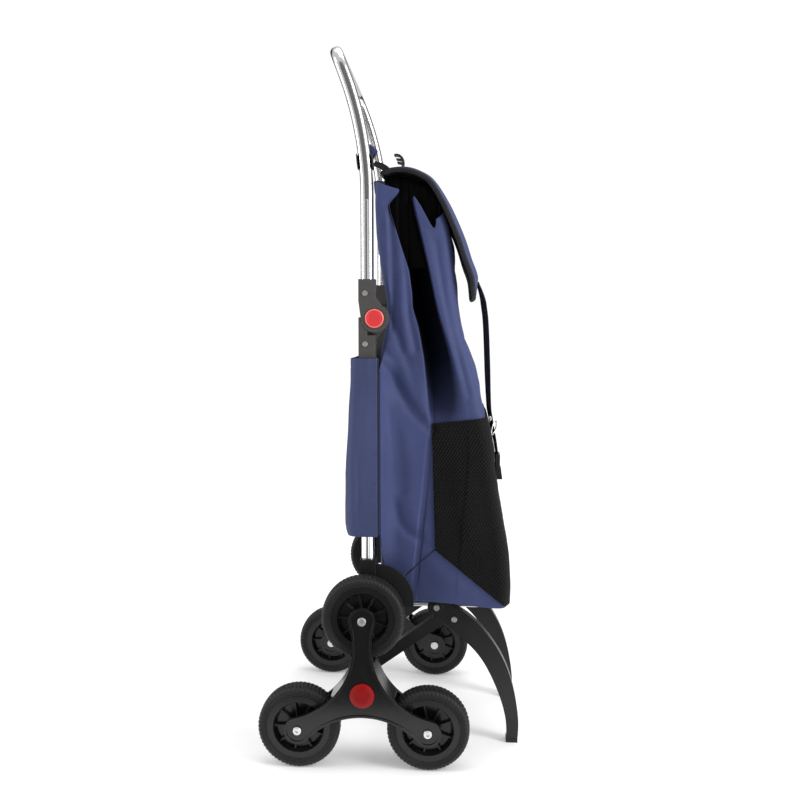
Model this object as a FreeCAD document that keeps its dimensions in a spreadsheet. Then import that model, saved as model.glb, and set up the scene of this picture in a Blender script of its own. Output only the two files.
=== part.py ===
import FreeCAD, Part
import math
import os

import Sketcher

# Two-wheel-set stair climbing shopping trolley with a soft bag, in millimetres.
# Frame: +X to the trolley's left, front towards -Y, +Z up, floor at Z = 0.
# The origin is the middle of the footprint on the floor.
# Places along the trolley are given as "ahead": millimetres in front of the wheel axle.

Vector = FreeCAD.Vector
X_AXIS = Vector(1, 0, 0)
Z_AXIS = Vector(0, 0, 1)
SIDES = (("left", 1), ("right", -1))

doc = FreeCAD.newDocument("shopping_trolley")
sheet = doc.addObject("Spreadsheet::Sheet", "dims")

DIMENSIONS = [
    ("axle_setback", 36.75, "axle behind the middle of the footprint"),
    ("hub_height", 110.5, "axle above the floor"),
    ("axle_radius", 5, "wheel set axle"),
    ("axle_reach", 200, "axle half length"),
    ("arm_length", 105, "hub to wheel bolt"),
    ("arm_end_radius", 18.5, "rounded end of a spider arm"),
    ("arm_notch", 31.5, "hub to the hollow between two arms"),
    ("track_half", 175, "wheel mid-plane from the middle"),
    ("plate_thickness", 4, "spider plate"),
    ("plate_outer", 193, "inner face of the outer spider plate"),
    ("plate_inner", 153, "inner face of the inner spider plate"),
    ("bead_width", 3, "raised edge of a spider plate"),
    ("bead_height", 1.8, "raised edge of a spider plate"),
    ("hub_tube_radius", 15, "spider hub"),
    ("tyre_radius", 58, "wheel outside"),
    ("tyre_half", 15, "half width of the tyre"),
    ("rim_radius", 45, "rim under the tyre"),
    ("rim_half", 12.5, "half width of the rim"),
    ("dish_radius", 36, "opening of the wheel dish"),
    ("hub_radius", 10.5, "wheel hub"),
    ("bolt_radius", 4, "wheel bolt shank"),
    ("bolt_head_radius", 5.8, "wheel bolt head"),
    ("running_gap", 0.06, "radial gap of a running fit"),
    ("cap_radius", 17, "red hub cap"),
    ("cap_height", 8, "red hub cap"),
    ("tube_offset", 135, "upright tube from the middle"),
    ("tube_ahead", 3, "upright tube axis ahead of the axle"),
    ("tube_width", 22, "oval tube across"),
    ("tube_depth", 17.6, "oval tube front to back"),
    ("tube_corner", 7.5, "oval tube corner radius"),
    ("tube_wall", 1.5, "aluminium tube wall"),
    ("tube_bottom", 90, "lower end of the upright tube"),
    ("tube_top", 604, "upper end of the lower tube"),
    ("handle_start", 655, "lower end of the handle tube"),
    ("handle_bend", 797, "where the handle starts to lean back"),
    ("handle_radius", 467, "radius of the lean"),
    ("handle_lean", 21.7, "angle of the lean, degrees"),
    ("handle_corner", 26, "corner of the handle loop"),
    ("pivot_ahead", 14, "fold pivot"),
    ("pivot_height", 629.4, "fold pivot"),
    ("knuckle_radius", 19.5, "fold knuckle"),
    ("socket_inner", 121.5, "inner face of the fold hinge"),
    ("socket_outer", 149, "outer face of the fold hinge"),
    ("socket_rear", -8.3, "rear of the fold hinge"),
    ("socket_front", 14.3, "front of the fold hinge"),
    ("button_radius", 13, "red release button"),
    ("bag_half", 119.5, "bag half width"),
    ("bag_wall", 3, "lined fabric with its foam"),
    ("mesh_thickness", 2.5, "mesh pocket on the bag"),
    ("lid_half", 120.5, "lid half width"),
    ("lid_thickness", 5, "padded lid"),
    ("rod_height", 204, "shelf tube and fold rod"),
    ("rod_radius", 5, "shelf tube"),
    ("rod_offset", 70.6, "shelf tube side from the middle"),
    ("fold_rod_radius", 4, "fold rod"),
    ("leg_inner", 76, "inner face of a leg"),
    ("leg_thickness", 16, "leg moulding"),
    ("strut_height", 17, "square strut"),
    ("strut_angle", 35.5, "strut slope, degrees"),
]
for row, (alias, number, meaning) in enumerate(DIMENSIONS, start=1):
    sheet.set("A%d" % row, meaning)
    sheet.set("B%d" % row, str(number))
    sheet.setAlias("B%d" % row, alias)
doc.recompute()


class Size:
    """A length that knows both its number and its spreadsheet expression."""

    def __init__(self, number, text):
        self.number = number
        self.text = text

    def _join(self, sign, other, number, swap=False):
        other_text = other.text if isinstance(other, Size) else repr(other)
        first, second = (other_text, self.text) if swap else (self.text, other_text)
        return Size(number, "(%s %s %s)" % (first, sign, second))

    def __add__(self, other):
        return self._join("+", other, self.number + number_of(other))

    def __radd__(self, other):
        return self._join("+", other, other + self.number, swap=True)

    def __sub__(self, other):
        return self._join("-", other, self.number - number_of(other))

    def __rsub__(self, other):
        return self._join("-", other, other - self.number, swap=True)

    def __mul__(self, other):
        return self._join("*", other, self.number * number_of(other))

    def __truediv__(self, other):
        return self._join("/", other, self.number / number_of(other))

    def __neg__(self):
        return Size(-self.number, "(-%s)" % self.text)


def number_of(value):
    return value.number if isinstance(value, Size) else value


def size(alias):
    return Size(float(sheet.get(alias)), "dims." + alias)


def mm(alias):
    return float(sheet.get(alias))


AXLE_Y = mm("axle_setback")
subparts = []


# ---------------------------------------------------------------- helpers

def point(x, ahead, height):
    return Vector(x, AXLE_Y - ahead, height)


def keep(label, shape):
    """A sub-part whose shape is worked out in code."""
    part = doc.addObject("Part::Feature", label)
    part.Label = label
    part.Shape = shape
    part.Placement = FreeCAD.Placement()
    subparts.append(part)
    return part


def slab(outline, x_start, x_end):
    """A side-view outline of (ahead, height) pairs, extruded across."""
    corners = [point(x_start, ahead, height) for ahead, height in outline]
    face = Part.Face(Part.makePolygon(corners + corners[:1]))
    return face.extrude(X_AXIS * (x_end - x_start))


def box(x_range, ahead_range, height_range):
    low = point(x_range[0], ahead_range[1], height_range[0])
    return Part.makeBox(x_range[1] - x_range[0], ahead_range[1] - ahead_range[0],
                        height_range[1] - height_range[0], low)


def cross_cylinder(radius, x_start, x_end, ahead, height):
    """A cylinder along X between two places across the trolley."""
    return Part.makeCylinder(radius, x_end - x_start, point(x_start, ahead, height), X_AXIS)


def span(side, near, far):
    """The (low, high) X of a piece that lies between two distances from the middle."""
    return (near, far) if side > 0 else (-far, -near)


def group(shapes):
    return Part.makeCompound(shapes)


def fused(shapes):
    return shapes[0].fuse(shapes[1:]).removeSplitter()


def band(points, thickness):
    """The outline of a strip that lies to the rear and below a line of points."""
    inner = []
    for index, (ahead, height) in enumerate(points):
        before = points[max(index - 1, 0)]
        after = points[min(index + 1, len(points) - 1)]
        run, rise = after[0] - before[0], after[1] - before[1]
        length = math.hypot(run, rise)
        inner.append((ahead + rise / length * thickness, height - run / length * thickness))
    return list(points) + inner[::-1]


def origin_part(body, role):
    return next(item for item in body.Origin.OriginFeatures if item.Role == role)


def new_body(label):
    body = doc.addObject("PartDesign::Body", label)
    body.Label = label
    subparts.append(body)
    return body


def polygon_sketch(body, role, name, corners):
    """A closed sketch whose corners are bound to the sheet, on one of the body's planes."""
    sketch = body.newObject("Sketcher::SketchObject", name)
    sketch.AttachmentSupport = [(origin_part(body, role), "")]
    sketch.MapMode = "FlatFace"
    places = [Vector(number_of(a), number_of(b), 0) for a, b in corners]
    count = len(places)
    for index, place in enumerate(places):
        sketch.addGeometry(Part.LineSegment(place, places[(index + 1) % count]), False)
    for index in range(count):
        sketch.addConstraint(
            Sketcher.Constraint("Coincident", index, 2, (index + 1) % count, 1))
    for index, corner in enumerate(corners):
        for kind, axis_line, value in (("DistanceX", -2, corner[0]), ("DistanceY", -1, corner[1])):
            if number_of(value) == 0:
                sketch.addConstraint(
                    Sketcher.Constraint("PointOnObject", index, 1, axis_line))
                continue
            item = sketch.addConstraint(
                Sketcher.Constraint(kind, -1, 1, index, 1, number_of(value)))
            if isinstance(value, Size):
                sketch.setExpression("Constraints[%d]" % item, value.text)
    return sketch


def revolved(body, name, corners):
    """A solid of revolution about the body's X axis; corners are (along, radius)."""
    sketch = polygon_sketch(body, "XY_Plane", name + "_profile", corners)
    solid = body.newObject("PartDesign::Revolution", name)
    solid.Profile = sketch
    solid.ReferenceAxis = (origin_part(body, "X_Axis"), [""])
    solid.Angle = 360
    sketch.Visibility = False
    return solid


def mirrored_if_right(shape, side):
    return shape if side > 0 else shape.mirror(Vector(0, 0, 0), X_AXIS)


# ---------------------------------------------------------------- wheels

HUB_AHEAD = 0.0
ARM_ANGLES = (90, 210, 330)
WHEEL_NAMES = ("top", "rear", "front")


def wheel_places():
    reach = mm("arm_length")
    for name, angle in zip(WHEEL_NAMES, ARM_ANGLES):
        turn = math.radians(angle)
        yield name, reach * math.cos(turn), mm("hub_height") + reach * math.sin(turn)


def make_tyre(label, centre):
    """Rubber tyre with sloped shoulders."""
    body = new_body(label)
    outer, half, seat = size("tyre_radius"), size("tyre_half"), size("rim_radius")
    revolved(body, label + "_ring", [
        (half * 0.8, seat), (half, seat + 2), (half, outer - 5), (half * 0.78, outer - 1.2),
        (half * 0.4, outer), (-(half * 0.4), outer), (-(half * 0.78), outer - 1.2),
        (-half, outer - 5), (-half, seat + 2), (-(half * 0.8), seat)])
    body.Placement.Base = centre


def make_rim(label, centre):
    """Plastic rim: hub, thin web, dished barrel and nine ribs."""
    body = new_body(label)
    seat, half, dish, hub = (size("rim_radius"), size("rim_half"), size("dish_radius"),
                             size("hub_radius"))
    bore = size("bolt_radius") + size("running_gap")
    web = 1.5
    hub_half = half + 2.3
    revolved(body, label + "_wheel", [
        (hub_half, bore), (hub_half, hub), (web, hub + 1.5), (web, dish - 4),
        (half, dish), (half, seat), (-half, seat), (-half, dish), (-web, dish - 4),
        (-web, hub + 1.5), (-hub_half, hub), (-hub_half, bore)])
    rib_sketch = polygon_sketch(body, "YZ_Plane", label + "_rib_outline", [
        (hub - 1.5, -1.1), (dish - 1.5, -1.1), (dish - 1.5, 1.1), (hub - 1.5, 1.1)])
    rib = body.newObject("PartDesign::Pad", label + "_rib")
    rib.Profile = rib_sketch
    rib.SideType = "Symmetric"
    rib.setExpression("Length", (half * 1.1).text)
    rib_sketch.Visibility = False
    ribs = body.newObject("PartDesign::PolarPattern", label + "_ribs")
    ribs.Originals = [rib]
    ribs.Axis = (origin_part(body, "X_Axis"), [""])
    ribs.Angle = 360
    ribs.Occurrences = 9
    body.Tip = ribs
    body.Placement.Base = centre


for side_name, side in SIDES:
    for wheel_name, ahead, height in wheel_places():
        hub_point = point(side * mm("track_half"), ahead, height)
        make_rim("rim_%s_%s" % (wheel_name, side_name), hub_point)
        make_tyre("tyre_%s_%s" % (wheel_name, side_name), hub_point)


# ---------------------------------------------------------------- wheel set spiders

def arm_outline(inset):
    """Three rounded arms joined by hollow arcs, moved inwards by the inset."""
    reach, notch = mm("arm_length"), mm("arm_notch") - inset
    end_radius = mm("arm_end_radius") - inset
    lead = end_radius - notch
    hollow_centre = (reach ** 2 - lead ** 2) / (2 * (reach * 0.5 + lead))
    hollow_radius = hollow_centre - notch
    edges = []

    def place(radius, degrees):
        turn = math.radians(degrees)
        return point(0, radius * math.cos(turn), mm("hub_height") + radius * math.sin(turn))

    for angle in ARM_ANGLES:
        end = place(reach, angle)
        joints = []
        for offset in (-60, 60):
            hollow = place(hollow_centre, angle + offset)
            joints.append(end + (hollow - end) * (end_radius / (end - hollow).Length))
        edges.append(Part.Arc(joints[0], place(reach + end_radius, angle), joints[1]).toShape())
        next_end = place(reach, angle + 120)
        hollow = place(hollow_centre, angle + 60)
        next_joint = next_end + (hollow - next_end) * (end_radius / (next_end - hollow).Length)
        edges.append(Part.Arc(joints[1], place(hollow_centre - hollow_radius, angle + 60),
                              next_joint).toShape())
    return Part.Wire(edges)


def arm_plate(inset, start, thickness):
    plate = Part.Face(arm_outline(inset)).extrude(X_AXIS * thickness)
    plate.translate(X_AXIS * start)
    return plate


def hollow_walls(start, end):
    """Short curved walls that tie the two plates between the arms."""
    thickness, half_turn = 3.0, 16.0
    reach, notch, end_radius = mm("arm_length"), mm("arm_notch"), mm("arm_end_radius")
    lead = end_radius - notch
    hollow_centre = (reach ** 2 - lead ** 2) / (2 * (reach * 0.5 + lead))
    inner = hollow_centre - notch
    walls = []
    for angle in ARM_ANGLES:
        facing = math.radians(angle + 60)
        centre = point(start, hollow_centre * math.cos(facing),
                       mm("hub_height") + hollow_centre * math.sin(facing))
        ring = Part.makeCylinder(inner + thickness, end - start, centre, X_AXIS).cut(
            Part.makeCylinder(inner, end - start, centre, X_AXIS))
        reach_out = (inner + thickness) * 1.2
        wedge = [centre]
        for turn in (-half_turn, half_turn):
            heading = facing + math.pi + math.radians(turn)
            wedge.append(centre + Vector(0, -math.cos(heading), math.sin(heading)) * reach_out)
        sector = Part.Face(Part.makePolygon(wedge + wedge[:1])).extrude(X_AXIS * (end - start))
        walls.append(ring.common(sector))
    return walls


def bolt_holes(radius, start, end):
    return [cross_cylinder(radius, start, end, ahead, height)
            for _, ahead, height in wheel_places()]


def make_spiders(side_name, side):
    """Inner and outer three-arm plates, with the hub tube on the outer one."""
    hub_z, plate = mm("hub_height"), mm("plate_thickness")
    inner_face, outer_face = mm("plate_inner"), mm("plate_outer")
    boss, wheel_gap = 9.0, 0.5
    wheel_in = mm("track_half") - mm("rim_half") - 2.3 - wheel_gap
    wheel_out = mm("track_half") + mm("rim_half") + 2.3 + wheel_gap
    bore = [cross_cylinder(mm("axle_radius") + mm("running_gap"), 140, 210, HUB_AHEAD, hub_z)]
    bolts = bolt_holes(mm("bolt_radius"), 140, 210)

    outer = [arm_plate(0, outer_face, plate)]
    bead = arm_plate(0, outer_face + plate, mm("bead_height")).cut(
        arm_plate(mm("bead_width"), outer_face + plate, mm("bead_height")))
    outer.append(bead)
    outer.append(cross_cylinder(mm("hub_tube_radius"), inner_face + plate, outer_face,
                                HUB_AHEAD, hub_z))
    outer += bolt_holes(boss, wheel_out, outer_face)
    outer_solid = fused(outer).cut(bore + bolts)
    keep("spider_outer_" + side_name, mirrored_if_right(outer_solid, side))

    inner = [arm_plate(0, inner_face, plate)]
    bead = arm_plate(0, inner_face - mm("bead_height"), mm("bead_height")).cut(
        arm_plate(mm("bead_width"), inner_face - mm("bead_height"), mm("bead_height")))
    inner.append(bead)
    inner += bolt_holes(boss, inner_face + plate, wheel_in)
    inner += hollow_walls(inner_face + plate, outer_face)
    inner_solid = fused(inner).cut(bore + bolts)
    keep("spider_inner_" + side_name, mirrored_if_right(inner_solid, side))


def make_wheel_bolts(side_name, side):
    """Three bolts with round heads outside and nuts inside."""
    head_start = mm("plate_outer") + mm("plate_thickness")
    nut_end = mm("plate_inner")
    shapes = []
    for _, ahead, height in wheel_places():
        shank = cross_cylinder(mm("bolt_radius"), nut_end - 3.5, head_start, ahead, height)
        head = cross_cylinder(mm("bolt_head_radius"), head_start, head_start + 4, ahead, height)
        head = head.makeFillet(1.4, [edge for edge in head.Edges
                                     if edge.BoundBox.XMin > head_start + 3.9])
        socket = cross_cylinder(2.4, head_start + 2, head_start + 4, ahead, height)
        nut = cross_cylinder(6.2, nut_end - 3.5, nut_end, ahead, height)
        shapes.append(fused([shank, head, nut]).cut(socket))
    keep("wheel_bolts_" + side_name, mirrored_if_right(group(shapes), side))


def make_hub_cap(side_name, side):
    """Red press-on cap over the axle end."""
    body = new_body("hub_cap_" + side_name)
    radius, height = size("cap_radius"), size("cap_height")
    wall = 2.2
    revolved(body, "hub_cap_%s_dome" % side_name, [
        (0, 7), (height - wall - 1, 7), (height - wall - 1, 0), (height, 0),
        (height, radius * 0.55), (height - 0.8, radius * 0.72), (height - 3.4, radius * 0.97),
        (height - 4.6, radius), (0, radius)])
    body.Placement = FreeCAD.Placement(
        point(side * (mm("plate_outer") + mm("plate_thickness")), HUB_AHEAD, mm("hub_height")),
        FreeCAD.Rotation(Z_AXIS, 0 if side > 0 else 180))


for side_name, side in SIDES:
    make_spiders(side_name, side)
    make_wheel_bolts(side_name, side)
    make_hub_cap(side_name, side)


# ---------------------------------------------------------------- main frame

def oval_wire(width, depth, corner):
    """Rounded tube section around the origin, in the XY plane."""
    half_w, half_d = width / 2, depth / 2
    corners = [(half_w, -half_d + corner, half_w, half_d - corner, 0),
               (half_w - corner, half_d, -half_w + corner, half_d, 90),
               (-half_w, half_d - corner, -half_w, -half_d + corner, 180),
               (-half_w + corner, -half_d, half_w - corner, -half_d, 270)]
    edges = []
    for x0, y0, x1, y1, facing in corners:
        edges.append(Part.LineSegment(Vector(x0, y0, 0), Vector(x1, y1, 0)).toShape())
        middle = math.radians(facing + 45)
        corner_x = math.copysign(half_w - corner, math.cos(middle))
        corner_y = math.copysign(half_d - corner, math.sin(middle))
        start, end = math.radians(facing), math.radians(facing + 90)
        on_arc = [Vector(corner_x + corner * math.cos(turn), corner_y + corner * math.sin(turn), 0)
                  for turn in (start, middle, end)]
        edges.append(Part.Arc(*on_arc).toShape())
    return Part.Wire(edges)


def tube_section(inset):
    return oval_wire(mm("tube_width") - 2 * inset, mm("tube_depth") - 2 * inset,
                     mm("tube_corner") - inset)


def straight_tube(side, bottom, top, inset):
    tube = Part.Face(tube_section(inset)).extrude(Z_AXIS * (top - bottom))
    tube.translate(point(side * mm("tube_offset"), mm("tube_ahead"), bottom))
    return tube


def flute(side, bottom, top):
    """Shallow groove down the outer face of a tube."""
    radius, depth = 6.0, 0.9
    outer_face = mm("tube_offset") + mm("tube_width") / 2
    return Part.makeCylinder(radius, top - bottom,
                             point(side * (outer_face + radius - depth), mm("tube_ahead"), bottom))


def screw(side, ahead, height, start):
    """Slotted pan-head screw pointing inwards from an outer face."""
    head = cross_cylinder(3.6, start, start + 1.6, ahead, height)
    slot = box((start + 0.7, start + 1.7), (ahead - 4, ahead + 4), (height - 0.5, height + 0.5))
    shank = cross_cylinder(1.8, start - 6, start, ahead, height)
    return mirrored_if_right(fused([head, shank]).cut(slot), side)


SOCKET_SCREW_AHEAD = 1.0
LOWER_SCREW_HEIGHT, UPPER_SCREW_HEIGHT = 594.0, 664.0
GUARD_SCREWS = ((3.0, 234.0), (3.0, 262.0))


def make_lower_tube(side_name, side):
    tube = straight_tube(side, mm("tube_bottom"), mm("tube_top"), 0).cut([
        straight_tube(side, mm("tube_bottom") - 1, mm("tube_top") + 1, mm("tube_wall")),
        flute(side, mm("tube_bottom") - 1, mm("tube_top") + 1)])
    holes = [cross_cylinder(mm("axle_radius"), -200, 200, HUB_AHEAD, mm("hub_height")),
             cross_cylinder(mm("fold_rod_radius"), -200, 200, mm("tube_ahead"),
                            mm("rod_height")),
             screw(side, SOCKET_SCREW_AHEAD, LOWER_SCREW_HEIGHT, mm("socket_outer"))]
    holes += [screw(side, ahead, height, GUARD_OUTER) for ahead, height in GUARD_SCREWS]
    keep("lower_tube_" + side_name, tube.cut(holes))


def knuckle(x_start, x_end, foot):
    """Round knuckle at the fold pivot, blended to a foot of (ahead, height) points."""
    disc = cross_cylinder(mm("knuckle_radius"), x_start, x_end, mm("pivot_ahead"),
                          mm("pivot_height"))
    return fused([disc, slab(foot, x_start, x_end)])


def make_hinge_base(side_name, side):
    """Lower half of the fold hinge, pushed over the lower tube."""
    rear, front = mm("socket_rear"), mm("socket_front")
    pivot_x, pivot_z = mm("pivot_ahead"), mm("pivot_height")
    split = (mm("socket_inner") + mm("socket_outer")) / 2 - 0.2
    sleeve = box((mm("socket_inner"), mm("socket_outer")), (rear, front), (556, 606))
    neck = [(rear, 600), (rear, 608), (pivot_x - mm("knuckle_radius"), pivot_z),
            (pivot_x + mm("knuckle_radius") * 0.97, pivot_z - 5), (front, 600)]
    cheek = box((split, mm("socket_outer")), (rear, pivot_x - 10), (600, 631)).cut(
        cross_cylinder(mm("knuckle_radius") + 0.6, split - 1, mm("socket_outer") + 1,
                       pivot_x, pivot_z))
    solid = fused([sleeve, cheek, knuckle(mm("socket_inner"), split, neck)])
    solid = mirrored_if_right(solid, side)
    pin_hole = cross_cylinder(4.0, -200, 200, pivot_x, pivot_z)
    keep("hinge_base_" + side_name, solid.cut([
        straight_tube(side, 500, mm("tube_top"), 0), pin_hole,
        screw(side, SOCKET_SCREW_AHEAD, LOWER_SCREW_HEIGHT, mm("socket_outer"))]))


def make_hinge_head(side_name, side):
    """Upper half of the fold hinge, with the pocket of the release button."""
    rear, front = mm("socket_rear"), mm("socket_front")
    pivot_x, pivot_z = mm("pivot_ahead"), mm("pivot_height")
    split = (mm("socket_inner") + mm("socket_outer")) / 2 + 0.2
    socket = box((mm("socket_inner"), mm("socket_outer")), (rear, front), (652, 683.5))
    neck = [(rear, 654), (pivot_x - mm("knuckle_radius"), pivot_z + 3),
            (pivot_x + mm("knuckle_radius") * 0.9, pivot_z + 6), (front, 660), (rear, 660)]
    solid = fused([socket, knuckle(split, mm("socket_outer"), neck)])
    pocket = cross_cylinder(mm("button_radius") + 0.3, 142, 160, pivot_x, pivot_z)
    pin_hole = cross_cylinder(4.0 + mm("running_gap"), 100, 142, pivot_x, pivot_z)
    solid = mirrored_if_right(solid.cut([pocket, pin_hole]), side)
    keep("hinge_head_" + side_name, solid.cut([
        straight_tube(side, mm("handle_start"), 700, 0),
        screw(side, SOCKET_SCREW_AHEAD, UPPER_SCREW_HEIGHT, mm("socket_outer"))]))


def make_axle_block(side):
    """Clamp block that joins the tube's lower end to the axle."""
    block = box((122.5, 149), (-13, 17), (84, 136))
    spacer = cross_cylinder(9, 149, 150.6, HUB_AHEAD, mm("hub_height"))
    solid = mirrored_if_right(fused([block, spacer]), side)
    return solid.cut([straight_tube(side, mm("tube_bottom"), 200, 0),
                      cross_cylinder(mm("axle_radius"), -200, 200, HUB_AHEAD,
                                     mm("hub_height"))])


GUARD_INNER, GUARD_OUTER = 145.5, 149.5
GUARD_CENTRE = (16.0, 230.0)
GUARD_RADIUS = 53.0
GUARD_SLEEVE = ((122.5, GUARD_OUTER), (-7.6, 14.4), (211.5, 289))


def make_wheel_guard(side_name, side):
    """Sleeve over the tube with a round plate that keeps the cloth off the upper wheel."""
    disc = cross_cylinder(GUARD_RADIUS, GUARD_INNER, GUARD_INNER + 2.5, *GUARD_CENTRE)
    across = (GUARD_INNER - 1, GUARD_OUTER + 1)
    disc = disc.cut([box(across, (-60, 90), (150, 222)), box(across, (-60, 0), (200, 300))])
    solid = mirrored_if_right(fused([box(*GUARD_SLEEVE), disc]), side)
    screws = [screw(side, ahead, height, GUARD_OUTER) for ahead, height in GUARD_SCREWS]
    keep("wheel_guard_" + side_name, solid.cut(screws + [straight_tube(side, 200, 300, 0)]))


def make_axle():
    """Steel axle through both wheel sets, bound to the sheet."""
    axle = doc.addObject("Part::Cylinder", "axle")
    axle.Label = "axle"
    axle.setExpression("Radius", size("axle_radius").text)
    axle.setExpression("Height", (size("axle_reach") * 2).text)
    axle.Placement = FreeCAD.Placement(
        point(-mm("axle_reach"), HUB_AHEAD, mm("hub_height")),
        FreeCAD.Rotation(Vector(0, 1, 0), 90))
    subparts.append(axle)


def make_fold_rod():
    """Rod between the tubes on which the shelf folds, with riveted ends."""
    end = mm("tube_offset") + mm("tube_width") / 2
    ahead, height = mm("tube_ahead"), mm("rod_height")
    rod = cross_cylinder(mm("fold_rod_radius"), -end, end, ahead, height)
    heads = [cross_cylinder(6, *span(side, end, end + 2), ahead, height) for _, side in SIDES]
    keep("fold_rod", fused([rod] + heads))


def make_frame_screws():
    shapes = []
    for _, side in SIDES:
        shapes.append(screw(side, SOCKET_SCREW_AHEAD, LOWER_SCREW_HEIGHT, mm("socket_outer")))
        shapes += [screw(side, ahead, height, GUARD_OUTER) for ahead, height in GUARD_SCREWS]
    keep("frame_screws", group(shapes))


for side_name, side in SIDES:
    make_lower_tube(side_name, side)
    make_hinge_base(side_name, side)
    make_hinge_head(side_name, side)
    make_wheel_guard(side_name, side)
keep("axle_blocks", group([make_axle_block(side) for _, side in SIDES]))
make_axle()
make_fold_rod()
make_frame_screws()


# ---------------------------------------------------------------- handle

def handle_path(side_reach):
    """Centre line of the handle loop, from the left end up, across and down."""
    lean, radius = math.radians(mm("handle_lean")), mm("handle_radius")
    start, bend, corner = mm("handle_start"), mm("handle_bend"), mm("handle_corner")
    base = mm("tube_ahead")

    def on_lean(turn):
        return base - radius * (1 - math.cos(turn)), bend + radius * math.sin(turn)

    def after_corner(run):
        ahead, height = on_lean(lean)
        return ahead - run * math.sin(lean), height + run * math.cos(lean)

    def side_edges(side):
        x = side * side_reach
        diagonal = corner * (1 - math.sqrt(0.5))
        up = Part.LineSegment(point(x, base, start), point(x, base, bend)).toShape()
        curve = Part.Arc(point(x, *on_lean(0)), point(x, *on_lean(lean / 2)),
                         point(x, *on_lean(lean))).toShape()
        turn = Part.Arc(point(x, *after_corner(0)),
                        point(x - side * diagonal, *after_corner(corner * math.sqrt(0.5))),
                        point(x - side * corner, *after_corner(corner))).toShape()
        return [up, curve, turn]

    top = after_corner(corner)
    across = Part.LineSegment(point(side_reach - corner, *top),
                              point(corner - side_reach, *top)).toShape()
    return Part.Wire(side_edges(1) + [across] + side_edges(-1)[::-1])


def swept_handle(inset):
    section = tube_section(inset)
    section.translate(point(mm("tube_offset"), mm("tube_ahead"), mm("handle_start")))
    return handle_path(mm("tube_offset")).makePipeShell([section], True, False)


def make_handle():
    tube = swept_handle(0).cut(swept_handle(mm("tube_wall")))
    screws = [screw(side, SOCKET_SCREW_AHEAD, UPPER_SCREW_HEIGHT, mm("socket_outer"))
              for _, side in SIDES]
    flutes = [flute(side, 600, mm("handle_bend") - 5) for _, side in SIDES]
    keep("handle_tube", tube.cut(screws + flutes))
    keep("head_screws", group(screws))


def make_hinge_pins():
    """Steel pins, tight in the hinge bases and free in the heads."""
    pins = [cross_cylinder(4.0, *span(side, mm("socket_inner"), 141.5), mm("pivot_ahead"),
                           mm("pivot_height")) for _, side in SIDES]
    keep("hinge_pins", group(pins))


def make_button_springs():
    springs = []
    for _, side in SIDES:
        low, high = span(side, 142, 149)
        ring = cross_cylinder(6.2, low, high, mm("pivot_ahead"), mm("pivot_height"))
        hole = cross_cylinder(5.2, low, high, mm("pivot_ahead"), mm("pivot_height"))
        springs.append(ring.cut(hole))
    keep("button_springs", group(springs))


def make_button(side_name, side):
    """Red push button: a cup with a dished face, proud of the hinge."""
    body = new_body("button_" + side_name)
    radius = size("button_radius")
    revolved(body, "button_%s_cup" % side_name, [
        (0, 9), (3.5, 9), (3.5, 0), (4.9, 0), (4.9, radius * 0.62), (5.6, radius * 0.78),
        (5.6, radius - 1), (4.9, radius), (0, radius)])
    body.Placement = FreeCAD.Placement(
        point(side * 145.5, mm("pivot_ahead"), mm("pivot_height")),
        FreeCAD.Rotation(Z_AXIS, 0 if side > 0 else 180))


def make_tube_loops():
    """Webbing loops round the handle tubes that hold the top of the bag."""
    loops = []
    centre = (mm("tube_offset"), mm("tube_ahead"))
    for _, side in SIDES:
        outer = Part.Face(oval_wire(mm("tube_width") + 3.9, mm("tube_depth") + 3.9,
                                    mm("tube_corner") + 1.9)).extrude(Z_AXIS * 20)
        inner = Part.Face(oval_wire(mm("tube_width") + 1.1, mm("tube_depth") + 1.1,
                                    mm("tube_corner") + 0.5)).extrude(Z_AXIS * 20)
        loop = outer.cut(inner)
        loop.translate(point(side * centre[0], centre[1] - 0.6, 833))
        lean_back = FreeCAD.Placement(
            Vector(0, 0, 0), FreeCAD.Rotation(X_AXIS, -math.degrees(math.asin(
                (843 - mm("handle_bend")) / mm("handle_radius")))),
            point(side * centre[0], centre[1], 843))
        loop.Placement = lean_back.multiply(loop.Placement)
        loop.translate(Vector(0, 2.0, 0))
        loops.append(loop)
    keep("tube_loops", group(loops))


make_handle()
make_hinge_pins()
make_button_springs()
for side_name, side in SIDES:
    make_button(side_name, side)
make_tube_loops()


# ---------------------------------------------------------------- bag

BAG_SIDE = [(20, 232), (30, 223), (120, 218), (186, 211.5), (199, 216), (205, 232),
            (205.5, 250), (201, 294), (188, 368), (179, 441), (169.5, 482), (152, 556),
            (133, 613), (125, 655), (119, 700), (108, 742), (90, 778), (62, 802),
            (27, 818), (24, 825), (20, 825)]
MESH_SIDE = [(94, 482), (102, 307), (191, 226), (203, 223), (208, 234), (208.5, 250),
             (204, 294), (191, 368), (182, 441), (172.5, 482)]
LID_LINE = [(23, 836), (54, 838), (75, 832), (92, 821), (110, 793), (124, 763), (134, 738),
            (142, 713), (151, 690), (155, 655)]
STRAP_ROOT_LINE = [(158, 684), (164, 667), (167.4, 650.2)]
STRAP_LINE = [(168.9, 642.4), (172, 611), (176.5, 504), (180, 476), (187, 440), (190.5, 418)]


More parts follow.
